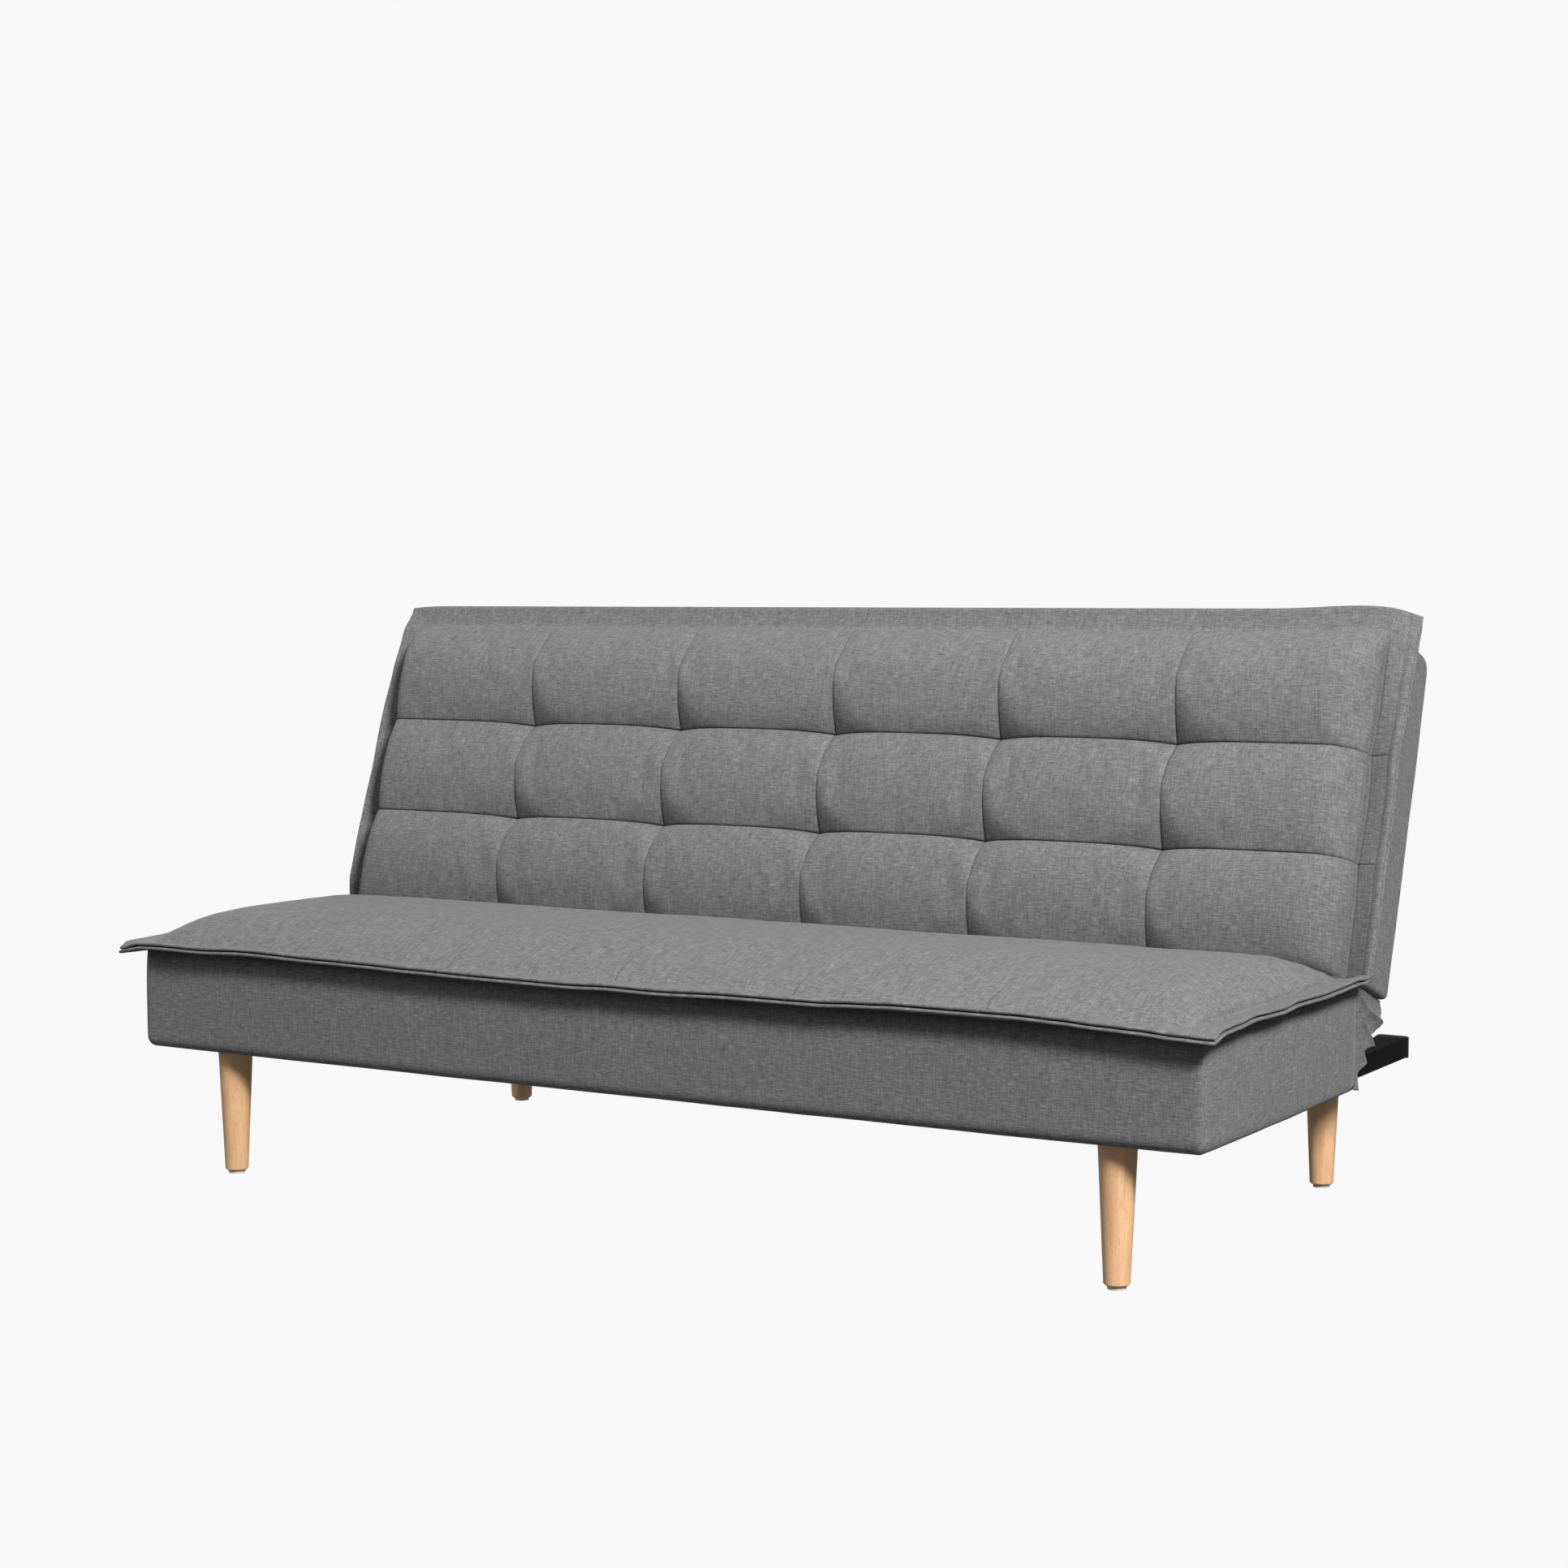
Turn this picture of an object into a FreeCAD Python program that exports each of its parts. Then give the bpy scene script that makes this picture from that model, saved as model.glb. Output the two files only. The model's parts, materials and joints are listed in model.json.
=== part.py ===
"""Click-clack sofa bed: a padded seat box on a steel base frame, with a back that folds flat."""
import FreeCAD, Part
import math
import os
import re
import Sketcher

Vector = FreeCAD.Vector
Rotation = FreeCAD.Rotation

# Driving dimensions in millimetres and degrees. Each one becomes a cell of the Sizes sheet.
sizes = {
    # the whole sofa
    "overall_width": 1800,
    "overall_depth": 915,
    "rake_angle": 18.9,
    # seat and back cushions: a crown of padding with a flat sewn flange all round
    "seat_depth": 573.5,
    "flange_top": 352,
    "flange_thickness": 12,
    "flange_width": 40,
    "seat_crown": 48,
    "seat_slope": 60,
    "back_length": 545,
    "back_crown": 64,
    "crease_gap": 8,
    # seat box
    "seat_bottom": 191,
    "seat_setback_front": 29,
    "seat_setback_side": 26,
    "apron_thickness": 12,
    "apron_rounding": 9,
    "seat_board_thickness": 20,
    "slat_width": 60,
    "slat_thickness": 12,
    "slat_count": 12,
    "slat_top": 274,
    "ledge_width": 20,
    "ledge_height": 24,
    "beam_offset": 290,
    "dust_cover_thickness": 1,
    # back box
    "back_box_height": 510,
    "back_thickness": 121,
    "back_setback_side": 18,
    "back_pad_thickness": 10,
    "back_board_thickness": 20,
    "back_foam_thickness": 65,
    # base frame of rectangular steel tube
    "tube_width": 50,
    "tube_height": 30,
    "tube_wall": 2,
    "rail_bottom": 193,
    "end_cap_length": 20,
    "frame_bolt_radius": 4,
    "frame_bolt_head_radius": 7,
    "frame_bolt_head_height": 4,
    # legs
    "leg_inset_side": 164,
    "leg_inset_front": 79,
    "leg_inset_rear": 91,
    "leg_plate_size": 70,
    "leg_plate_thickness": 3,
    "leg_top_radius": 26,
    "leg_foot_radius": 17.5,
    "leg_chamfer": 2,
    "leg_bolt_radius": 4,
    "leg_bolt_depth": 40,
    "glide_radius": 12.5,
    "glide_height": 5,
    # recliner hinges
    "pivot_drop": 24,
    "hinge_plate_thickness": 5,
    "arm_thickness": 5.5,
    "plate_gap": 1,
    "side_gap": 0.5,
    "running_gap": 0.05,
    "pin_radius": 6,
    "pin_head_radius": 9,
    "pin_head_thickness": 3,
    "hub_radius": 16,
    "arm_length": 180,
    "arm_width": 28,
    "arm_bolt_radius": 4,
    "arm_bolt_pitch": 36,
    "arm_bolt_bite": 24,
    "sector_radius": 45,
    "sector_start": 180,
    "tooth_pitch": 10,
    "tooth_count": 8,
    "tooth_radius": 3,
    "pawl_angle": 255,
    "pawl_gap": 0.6,
    "pawl_reach_y": 30,
    "pawl_reach_z": 18,
    "pawl_radius": 8,
    "pawl_pin_radius": 4,
    "spring_radius": 2.5,
    # clearances of soft pieces
    "soft_gap": 0.5,
}

# Values worked out from the driving dimensions. A name may stand for another formula of this table.
derived = {
    "half_width": "overall_width / 2",
    "front": "-overall_depth / 2",
    "rear": "overall_depth / 2",
    "crease": "front + seat_depth",
    "fold": "90 - rake_angle",
    "lip": "flange_thickness / 2",
    "flange_mid": "flange_top - lip",
    "flange_bottom": "flange_top - flange_thickness",
    # the pivot lies as far under the seat's flange as behind the back's flange
    "pivot_shift": "pivot_drop * tan(fold / 2 * 1 deg)",
    "pivot_y": "crease + pivot_shift",
    "pivot_z": "flange_mid - pivot_drop",
    # seat box, from the outside in
    "box_side": "half_width - seat_setback_side",
    "board_side": "box_side - apron_thickness",
    "inner_side": "board_side - seat_board_thickness",
    "apron_front": "front + seat_setback_front",
    "board_front": "apron_front + apron_thickness",
    "inner_front": "board_front + seat_board_thickness",
    "apron_rear": "crease",
    "board_rear": "apron_rear - apron_thickness",
    "inner_rear": "board_rear - seat_board_thickness",
    "seat_end": "crease - crease_gap",
    "rail_top": "rail_bottom + tube_height",
    "rail_inner": "inner_side - tube_width",
    "slat_bottom": "slat_top - slat_thickness",
    # hinge plates, from the side board inwards
    "arm_outer": "inner_side - side_gap",
    "arm_inner": "arm_outer - arm_thickness",
    "plate_outer": "arm_inner - plate_gap",
    "plate_inner": "plate_outer - hinge_plate_thickness",
    "bay_side": "plate_inner - pin_head_thickness - plate_gap",
    # back, lying flat: y runs up the back from the pivot, z stands off the sleeping side
    "back_start": "pivot_shift + crease_gap",
    "back_end": "pivot_shift + back_length",
    "back_top": "pivot_shift + back_box_height",
    "back_mid": "pivot_drop",
    "back_front": "pivot_drop - lip",
    "back_rear": "pivot_drop - back_thickness",
    "back_side": "half_width - back_setback_side",
    "back_board_side": "back_side - back_pad_thickness",
    "back_board_start": "back_start + back_pad_thickness",
    "back_board_end": "back_top - back_pad_thickness",
    "back_board_rear": "back_rear + back_pad_thickness",
    "back_slat_front": "back_front - back_foam_thickness",
    "back_slat_rear": "back_slat_front - slat_thickness",
    "back_inner_start": "back_board_start + back_board_thickness",
    "back_inner_end": "back_board_end - back_board_thickness",
    # legs
    "leg_side": "half_width - leg_inset_side",
    "leg_front": "front + leg_inset_front",
    "leg_rear": "rear - leg_inset_rear",
    "leg_top": "rail_bottom - leg_plate_thickness",
    # pawls
    "pawl_tip_radius": "sector_radius + pawl_gap",
    "pawl_tip_y": "pivot_y + pawl_tip_radius * cos(pawl_angle * 1 deg)",
    "pawl_tip_z": "pivot_z + pawl_tip_radius * sin(pawl_angle * 1 deg)",
    "pawl_y": "pawl_tip_y - pawl_reach_y",
    "pawl_z": "pawl_tip_z - pawl_reach_z",
}

doc = FreeCAD.newDocument("sofa_bed")
nodes = []


def formula(text):
    """Write out a formula of plain names as an expression that reads the Sizes sheet."""
    def spell(match):
        word = match.group(0)
        if word in derived:
            return f"({formula(derived[word])})"
        return f"Sizes.{word}" if word in sizes else word
    return re.sub(r"[a-z_]+", spell, str(text))


def value(text):
    """The number that a formula gives with the sheet as it stands."""
    return float(sheet.evalExpression(formula(text)))


def make_sheet():
    page = doc.addObject("Spreadsheet::Sheet", "Sizes")
    for row, (name, size) in enumerate(sizes.items(), start=1):
        page.set(f"A{row}", name)
        page.set(f"B{row}", str(size))
        page.setAlias(f"B{row}", name)
    doc.recompute()
    return page


def keep(piece, name):
    """Give a finished sub-part the label that names its file."""
    piece.Label = name
    nodes.append(piece)
    return piece


def place(piece, x, y, z, tilted, turn=None):
    """Put a piece's own corner or centre at x, y, z; a tilted piece is first laid out flat,
    measured from the pivot, and then swung up about it by the fold angle."""
    if turn:
        piece.Placement = FreeCAD.Placement(Vector(), Rotation(*turn))
    if tilted:
        up, out = f"({y})", f"({z})"
        y = f"pivot_y + {up} * cos(fold * 1 deg) - {out} * sin(fold * 1 deg)"
        z = f"pivot_z + {up} * sin(fold * 1 deg) + {out} * cos(fold * 1 deg)"
        if not turn:
            piece.Placement = FreeCAD.Placement(Vector(), Rotation(Vector(1, 0, 0), 1))
            piece.setExpression("Placement.Rotation.Angle", formula("fold"))
    for axis, text in zip("xyz", (x, y, z)):
        piece.setExpression(f"Placement.Base.{axis}", formula(text))


def block(name, x, y, z, tilted=False):
    """A box between a low and a high formula on each axis."""
    piece = doc.addObject("Part::Box", name)
    for side, (low, high) in zip(("Length", "Width", "Height"), (x, y, z)):
        piece.setExpression(side, formula(f"({high}) - ({low})"))
    place(piece, x[0], y[0], z[0], tilted)
    return piece


def pin(name, radius, x, y, z, tilted=False):
    """A round bar across the sofa, from one x to another."""
    piece = doc.addObject("Part::Cylinder", name)
    piece.setExpression("Radius", formula(radius))
    piece.setExpression("Height", formula(f"({x[1]}) - ({x[0]})"))
    place(piece, x[0], y, z, tilted, turn=(Vector(0, 1, 0), 90))
    return piece


def post(name, radius, x, y, z):
    """An upright round bar between two heights."""
    piece = doc.addObject("Part::Cylinder", name)
    piece.setExpression("Radius", formula(radius))
    piece.setExpression("Height", formula(f"({z[1]}) - ({z[0]})"))
    place(piece, x, y, z[0], False)
    return piece


def plate(name, outline, x, tilted=False):
    """A flat plate standing across x, padded from an outline of (y, z) formulas."""
    body = doc.addObject("PartDesign::Body", name)
    sketch = body.newObject("Sketcher::SketchObject", f"{name}_outline")
    plane = [part for part in body.Origin.OriginFeatures if part.Role == "YZ_Plane"][0]
    sketch.AttachmentSupport = (plane, "")
    sketch.MapMode = "FlatFace"
    corners = [Vector(value(y), value(z), 0) for y, z in outline]
    for index, corner in enumerate(corners):
        sketch.addGeometry(Part.LineSegment(corner, corners[(index + 1) % len(corners)]), False)
    for index in range(len(corners)):
        following = (index + 1) % len(corners)
        sketch.addConstraint(Sketcher.Constraint("Coincident", index, 2, following, 1))
    for index, ((y, z), corner) in enumerate(zip(outline, corners)):
        for kind, text, start in (("DistanceX", y, corner.x), ("DistanceY", z, corner.y)):
            number = sketch.addConstraint(Sketcher.Constraint(kind, -1, 1, index, 1, start))
            sketch.setExpression(f"Constraints[{number}]", formula(text))
    pad = body.newObject("PartDesign::Pad", f"{name}_pad")
    pad.Profile = sketch
    pad.setExpression("Length", formula(f"({x[1]}) - ({x[0]})"))
    if tilted:
        place(body, x[0], 0, 0, True)
    else:
        body.setExpression("Placement.Base.x", formula(x[0]))
    return body


def crown(name, x, y, z, slope, tilted=False):
    """A cushion's padding: a frustum whose four sides slope in from the flange."""
    piece = doc.addObject("Part::Wedge", name)
    height = f"({z[1]}) - ({z[0]})"
    length = f"({y[1]}) - ({y[0]})"
    width = f"({x[1]}) - ({x[0]})"
    spans = {
        "Xmin": 0, "Xmax": width, "X2min": slope, "X2max": f"{width} - ({slope})",
        "Zmin": 0, "Zmax": length, "Z2min": slope, "Z2max": f"{length} - ({slope})",
        "Ymin": 0, "Ymax": height,
    }
    for side, text in spans.items():
        piece.setExpression(side, formula(text))
    # the wedge grows along its own y, so it is stood up, which turns its z towards the front
    piece.Placement = FreeCAD.Placement(Vector(), Rotation(Vector(1, 0, 0), 90))
    up, out = f"({y[1]})", f"({z[0]})"
    base_y, base_z = up, out
    if tilted:
        base_y = f"pivot_y + {up} * cos(fold * 1 deg) - {out} * sin(fold * 1 deg)"
        base_z = f"pivot_z + {up} * sin(fold * 1 deg) + {out} * cos(fold * 1 deg)"
        piece.setExpression("Placement.Rotation.Angle", formula("90 + fold"))
    for axis, text in zip("xyz", (x[0], base_y, base_z)):
        piece.setExpression(f"Placement.Base.{axis}", formula(text))
    return piece


def fuse(name, pieces):
    piece = doc.addObject("Part::MultiFuse", name)
    piece.Shapes = pieces
    piece.Refine = True
    return piece


def cut(name, base, tools):
    piece = doc.addObject("Part::Cut", name)
    piece.Base = base
    piece.Tool = tools[0] if len(tools) == 1 else fuse(f"{name}_tools", tools)
    return piece


def group(name, pieces):
    piece = doc.addObject("Part::Compound", name)
    piece.Links = pieces
    return keep(piece, name)


def span(side, inner, outer):
    """A stretch of x on one side of the sofa: side is 1 on the right and -1 on the left."""
    return (inner, outer) if side > 0 else (f"-({outer})", f"-({inner})")


def across(half):
    """A stretch of x that is the same on both sides."""
    return (f"-({half})", half)


def spread(count, index, width, half):
    """The x stretch of one of several equal strips spread evenly between -half and +half."""
    pitch = f"((2 * ({half}) - {width}) / ({count} - 1))"
    return (f"-({half}) + {index} * {pitch}", f"-({half}) + {index} * {pitch} + {width}")


def rounded(name, piece, radius, chosen):
    """Fillet the edges whose middle passes the test."""
    doc.recompute()
    edges = []
    for number, edge in enumerate(piece.Shape.Edges, start=1):
        if chosen(edge):
            edges.append((number, value(radius), value(radius)))
    soft = doc.addObject("Part::Fillet", name)
    soft.Base = piece
    soft.Edges = edges
    return soft


def runs_along(edge, direction):
    ends = edge.Vertexes[-1].Point - edge.Vertexes[0].Point
    return ends.Length > 0 and abs(ends.normalize().dot(direction)) > 0.999


def make_base_frame():
    """Two side rails and two cross rails of steel tube, with plastic caps in the open ends."""
    caps, bolts = [], []
    for side, hand in ((-1, "left"), (1, "right")):
        x = span(side, "rail_inner", "inner_side")
        y = ("inner_front", "rear - end_cap_length")
        z = ("rail_bottom", "rail_top")
        outer = block(f"rail_{hand}_outer", x, y, z)
        bore_x = span(side, "rail_inner + tube_wall", "inner_side - tube_wall")
        bore = block(f"rail_{hand}_bore", bore_x, y, ("rail_bottom + tube_wall", "rail_top - tube_wall"))
        bolt_ys = ("leg_front + tube_width", "(leg_front + inner_rear) / 2", "inner_rear - tube_width")
        holes = []
        for index, bolt_y in enumerate(bolt_ys):
            middle = "(rail_bottom + rail_top) / 2"
            shank_x = span(side, "inner_side - tube_wall", "inner_side + seat_board_thickness / 2")
            head_x = span(side, "inner_side - tube_wall - frame_bolt_head_height", "inner_side - tube_wall")
            shank = pin(f"shank_{hand}_{index}", "frame_bolt_radius", shank_x, bolt_y, middle)
            head = pin(f"head_{hand}_{index}", "frame_bolt_head_radius", head_x, bolt_y, middle)
            bolts.append(fuse(f"frame_bolt_{hand}_{index}", [shank, head]))
            radius = "frame_bolt_radius + running_gap"
            holes.append(pin(f"rail_hole_{hand}_{index}", radius, shank_x, bolt_y, middle))
        keep(cut(f"rail_{hand}", outer, [bore] + holes), f"rail_{hand}")
        cap = block(f"cap_{hand}", x, ("rear - end_cap_length", "rear"), z)
        corner = value("rear")
        edge_x = value("inner_side") * side
        cap = rounded(f"cap_{hand}_round", cap, "end_cap_length - 2 * tube_wall", lambda edge: (
            runs_along(edge, Vector(0, 0, 1)) and abs(edge.CenterOfMass.y - corner) < 1
            and abs(edge.CenterOfMass.x - edge_x) < 1))
        caps.append(cap)
        leaf_x = span(side, "plate_inner", "plate_outer")
        make_hinge_base(side, hand, leaf_x)
    group("rail_end_caps", caps)
    group("frame_bolts", bolts)
    rows = (("front", "inner_front", "inner_front + tube_width"),
            ("rear", "leg_rear - tube_width / 2", "leg_rear + tube_width / 2"))
    for end, low, high in rows:
        outer = block(f"cross_{end}_outer", across("rail_inner"), (low, high), ("rail_bottom", "rail_top"))
        bore = block(f"cross_{end}_bore", across("rail_inner"),
                     (f"{low} + tube_wall", f"{high} - tube_wall"),
                     ("rail_bottom + tube_wall", "rail_top - tube_wall"))
        leg_y = f"leg_{end}"
        holes = []
        for side in (-1, 1):
            hole_z = ("rail_bottom", "rail_bottom + tube_wall")
            holes.append(post(f"cross_{end}_hole_{side + 1}", "leg_bolt_radius + running_gap",
                              f"{side} * leg_side", leg_y, hole_z))
        keep(cut(f"cross_rail_{end}", outer, [bore] + holes), f"cross_rail_{end}")


def make_leg(name):
    """A turned leg: straight taper, small chamfer at the foot and a blind hole for its bolt."""
    body = doc.addObject("PartDesign::Body", name)
    sketch = body.newObject("Sketcher::SketchObject", f"{name}_profile")
    plane = [part for part in body.Origin.OriginFeatures if part.Role == "XZ_Plane"][0]
    sketch.AttachmentSupport = (plane, "")
    sketch.MapMode = "FlatFace"
    hole = "leg_bolt_radius + running_gap"
    outline = [
        ("0", "glide_height"),
        ("leg_foot_radius - leg_chamfer", "glide_height"),
        ("leg_foot_radius", "glide_height + leg_chamfer"),
        ("leg_top_radius", "leg_top"),
        (hole, "leg_top"),
        (hole, "leg_top - leg_bolt_depth"),
        ("0", "leg_top - leg_bolt_depth"),
    ]
    corners = [Vector(value(x), value(z), 0) for x, z in outline]
    for index, corner in enumerate(corners):
        sketch.addGeometry(Part.LineSegment(corner, corners[(index + 1) % len(corners)]), False)
    for index in range(len(corners)):
        sketch.addConstraint(Sketcher.Constraint("Coincident", index, 2, (index + 1) % len(corners), 1))
    for index, ((x, z), corner) in enumerate(zip(outline, corners)):
        if x == "0":
            sketch.addConstraint(Sketcher.Constraint("PointOnObject", index, 1, -2))
        else:
            number = sketch.addConstraint(Sketcher.Constraint("DistanceX", -1, 1, index, 1, corner.x))
            sketch.setExpression(f"Constraints[{number}]", formula(x))
        number = sketch.addConstraint(Sketcher.Constraint("DistanceY", -1, 1, index, 1, corner.y))
        sketch.setExpression(f"Constraints[{number}]", formula(z))
    turned = body.newObject("PartDesign::Revolution", f"{name}_turned")
    turned.Profile = sketch
    turned.ReferenceAxis = (sketch, ["V_Axis"])
    turned.Angle = 360
    return body


def make_legs():
    plates, bolts, glides = [], [], []
    for end in ("front", "rear"):
        for side, hand in ((-1, "left"), (1, "right")):
            x, y, tag = f"{side} * leg_side", f"leg_{end}", f"{end}_{hand}"
            leg = make_leg(f"leg_{tag}")
            leg.setExpression("Placement.Base.x", formula(x))
            leg.setExpression("Placement.Base.y", formula(y))
            keep(leg, f"leg_{tag}")
            half = "leg_plate_size / 2"
            square = block(f"plate_{tag}", (f"{x} - {half}", f"{x} + {half}"),
                           (f"{y} - {half}", f"{y} + {half}"), ("leg_top", "rail_bottom"))
            hole = post(f"plate_hole_{tag}", "leg_bolt_radius + running_gap", x, y,
                        ("leg_top", "rail_bottom"))
            plates.append(cut(f"plate_drilled_{tag}", square, [hole]))
            nut_low = "rail_bottom + tube_wall"
            shank = post(f"shank_{tag}", "leg_bolt_radius", x, y,
                         ("leg_top - leg_bolt_depth + soft_gap", "rail_bottom + tube_height / 2"))
            nut = post(f"nut_{tag}", "frame_bolt_head_radius", x, y,
                       (nut_low, f"{nut_low} + frame_bolt_head_height"))
            bolts.append(fuse(f"leg_bolt_{tag}", [shank, nut]))
            glides.append(post(f"glide_{tag}", "glide_radius", x, y, ("0", "glide_height")))
    group("leg_plates", plates)
    group("leg_bolts", bolts)
    group("leg_glides", glides)


def make_hinge_base(side, hand, x):
    """The fixed leaf of a recliner hinge, standing on the rail and reaching back to the pivot."""
    reach = "hub_radius + side_gap"
    outline = [
        ("pawl_y - 3 * pawl_radius", "rail_top"),
        (f"pivot_y + {reach}", "rail_top"),
        (f"pivot_y + {reach}", "pivot_z + hub_radius / 2"),
        (f"pivot_y + {reach} / 2", "pivot_z + hub_radius"),
        (f"pivot_y - {reach}", "pivot_z + hub_radius"),
        ("pawl_y - 3 * pawl_radius", "pawl_z + 3 * pawl_radius"),
    ]
    leaf = plate(f"hinge_leaf_{hand}", outline, x)
    holes = [
        pin(f"leaf_pivot_hole_{hand}", "pin_radius + running_gap", x, "pivot_y", "pivot_z"),
        pin(f"leaf_pawl_hole_{hand}", "pawl_pin_radius + running_gap", x, "pawl_y", "pawl_z"),
    ]
    keep(cut(f"hinge_base_{hand}", leaf, holes), f"hinge_base_{hand}")
    head = "pin_head_thickness"
    inner_head = f"plate_inner - side_gap / 2 - {head}"
    outer_head = "arm_outer + side_gap / 2"
    stem_x = span(side, inner_head, f"{outer_head} + {head}")
    stem = pin(f"pin_stem_{hand}", "pin_radius", stem_x, "pivot_y", "pivot_z")
    heads = []
    for index, start in enumerate((inner_head, outer_head)):
        head_x = span(side, start, f"{start} + {head}")
        heads.append(pin(f"pin_head_{hand}_{index}", "pin_head_radius", head_x, "pivot_y", "pivot_z"))
    keep(fuse(f"hinge_pin_{hand}", [stem] + heads), f"hinge_pin_{hand}")


def make_pawls():
    """A spring-loaded pawl under each toothed sector, just clear of the teeth."""
    pins = []
    for side, hand in ((-1, "left"), (1, "right")):
        x = span(side, "arm_inner", "arm_outer")
        tip = "pawl_radius / 4"
        outline = [
            ("pawl_y - pawl_radius", "pawl_z - pawl_radius"),
            ("pawl_y + pawl_radius", "pawl_z - pawl_radius"),
            (f"pawl_tip_y + {tip}", f"pawl_tip_z - pawl_radius"),
            (f"pawl_tip_y + {tip}", f"pawl_tip_z - {tip}"),
            ("pawl_tip_y", "pawl_tip_z"),
            (f"pawl_tip_y - pawl_radius", f"pawl_tip_z - {tip}"),
            ("pawl_y - pawl_radius", "pawl_z + pawl_radius"),
        ]
        blank = plate(f"pawl_blank_{hand}", outline, x)
        hole = pin(f"pawl_hole_{hand}", "pawl_pin_radius + running_gap", x, "pawl_y", "pawl_z")
        keep(cut(f"pawl_{hand}", blank, [hole]), f"pawl_{hand}")
        stem_x = span(side, "plate_inner - pin_head_thickness", "arm_outer + side_gap / 2")
        head_x = span(side, "plate_inner - pin_head_thickness", "plate_inner - side_gap / 2")
        stem = pin(f"pawl_stem_{hand}", "pawl_pin_radius", stem_x, "pawl_y", "pawl_z")
        head = pin(f"pawl_head_{hand}", "pawl_pin_radius + pin_head_thickness", head_x, "pawl_y", "pawl_z")
        pins.append(fuse(f"pawl_pin_{hand}", [stem, head]))
        coil_x = f"{side} * (arm_inner + arm_thickness / 2)"
        keep(post(f"pawl_spring_{hand}", "spring_radius", coil_x, "pawl_y - pawl_radius / 2",
                  ("rail_top", "pawl_z - pawl_radius - side_gap")), f"pawl_spring_{hand}")
    group("pawl_pins", pins)


def make_seat_box():
    """The wooden seat box with its slats, foam and dust cover."""
    board_z = ("rail_bottom", "flange_bottom")
    front_y = ("board_front", "inner_front")
    keep(block("front_board", across("inner_side"), front_y, board_z), "seat_front_board")
    keep(block("rear_board", across("bay_side"), ("inner_rear", "board_rear"),
               ("rail_top", "flange_bottom")), "seat_rear_board")
    for side, hand in ((-1, "left"), (1, "right")):
        board = block(f"side_board_{hand}", span(side, "inner_side", "board_side"),
                      ("board_front", "apron_rear"), board_z)
        holes = []
        bolt_ys = ("leg_front + tube_width", "(leg_front + inner_rear) / 2", "inner_rear - tube_width")
        for index, bolt_y in enumerate(bolt_ys):
            shank_x = span(side, "inner_side", "inner_side + seat_board_thickness / 2 + running_gap")
            holes.append(pin(f"board_hole_{hand}_{index}", "frame_bolt_radius + running_gap", shank_x,
                             bolt_y, "(rail_bottom + rail_top) / 2"))
        keep(cut(f"side_board_drilled_{hand}", board, holes), f"seat_side_board_{hand}")
    ledge_z = ("slat_bottom - ledge_height", "slat_bottom")
    group("seat_slat_ledges", [
        block("ledge_front", across("bay_side"), ("inner_front", "inner_front + ledge_width"), ledge_z),
        block("ledge_rear", across("bay_side"), ("inner_rear - ledge_width", "inner_rear"), ledge_z),
    ])
    beams = []
    for side in (-1, 1):
        middle = f"{side} * beam_offset"
        beam_x = (f"{middle} - seat_board_thickness / 2", f"{middle} + seat_board_thickness / 2")
        beam_y = ("inner_front + ledge_width", "inner_rear - ledge_width")
        beams.append(block(f"beam_{side + 1}", beam_x, beam_y, ("rail_top", "slat_bottom")))
    group("seat_centre_beams", beams)
    slats = []
    for index in range(int(sizes["slat_count"])):
        slat_x = spread("slat_count", index, "slat_width", "bay_side")
        slats.append(block(f"seat_slat_{index}", slat_x, ("inner_front", "inner_rear"),
                           ("slat_bottom", "slat_top")))
    group("seat_slats", slats)
    keep(block("base_foam", across("bay_side"), ("inner_front", "inner_rear"),
               ("slat_top", "flange_bottom")), "seat_base_foam")
    sheet_z = ("rail_bottom - dust_cover_thickness", "rail_bottom")
    cloth = block("dust_cloth", across("inner_side"), ("board_front", "board_rear"), sheet_z)
    windows = []
    for side in (-1, 1):
        half = "(leg_plate_size / 2 + soft_gap)"
        windows.append(block(f"dust_window_{side + 1}",
                             (f"{side} * leg_side - {half}", f"{side} * leg_side + {half}"),
                             (f"leg_front - {half}", f"leg_front + {half}"), sheet_z))
    keep(cut("dust_cloth_cut", cloth, windows), "seat_dust_cover")


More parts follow.
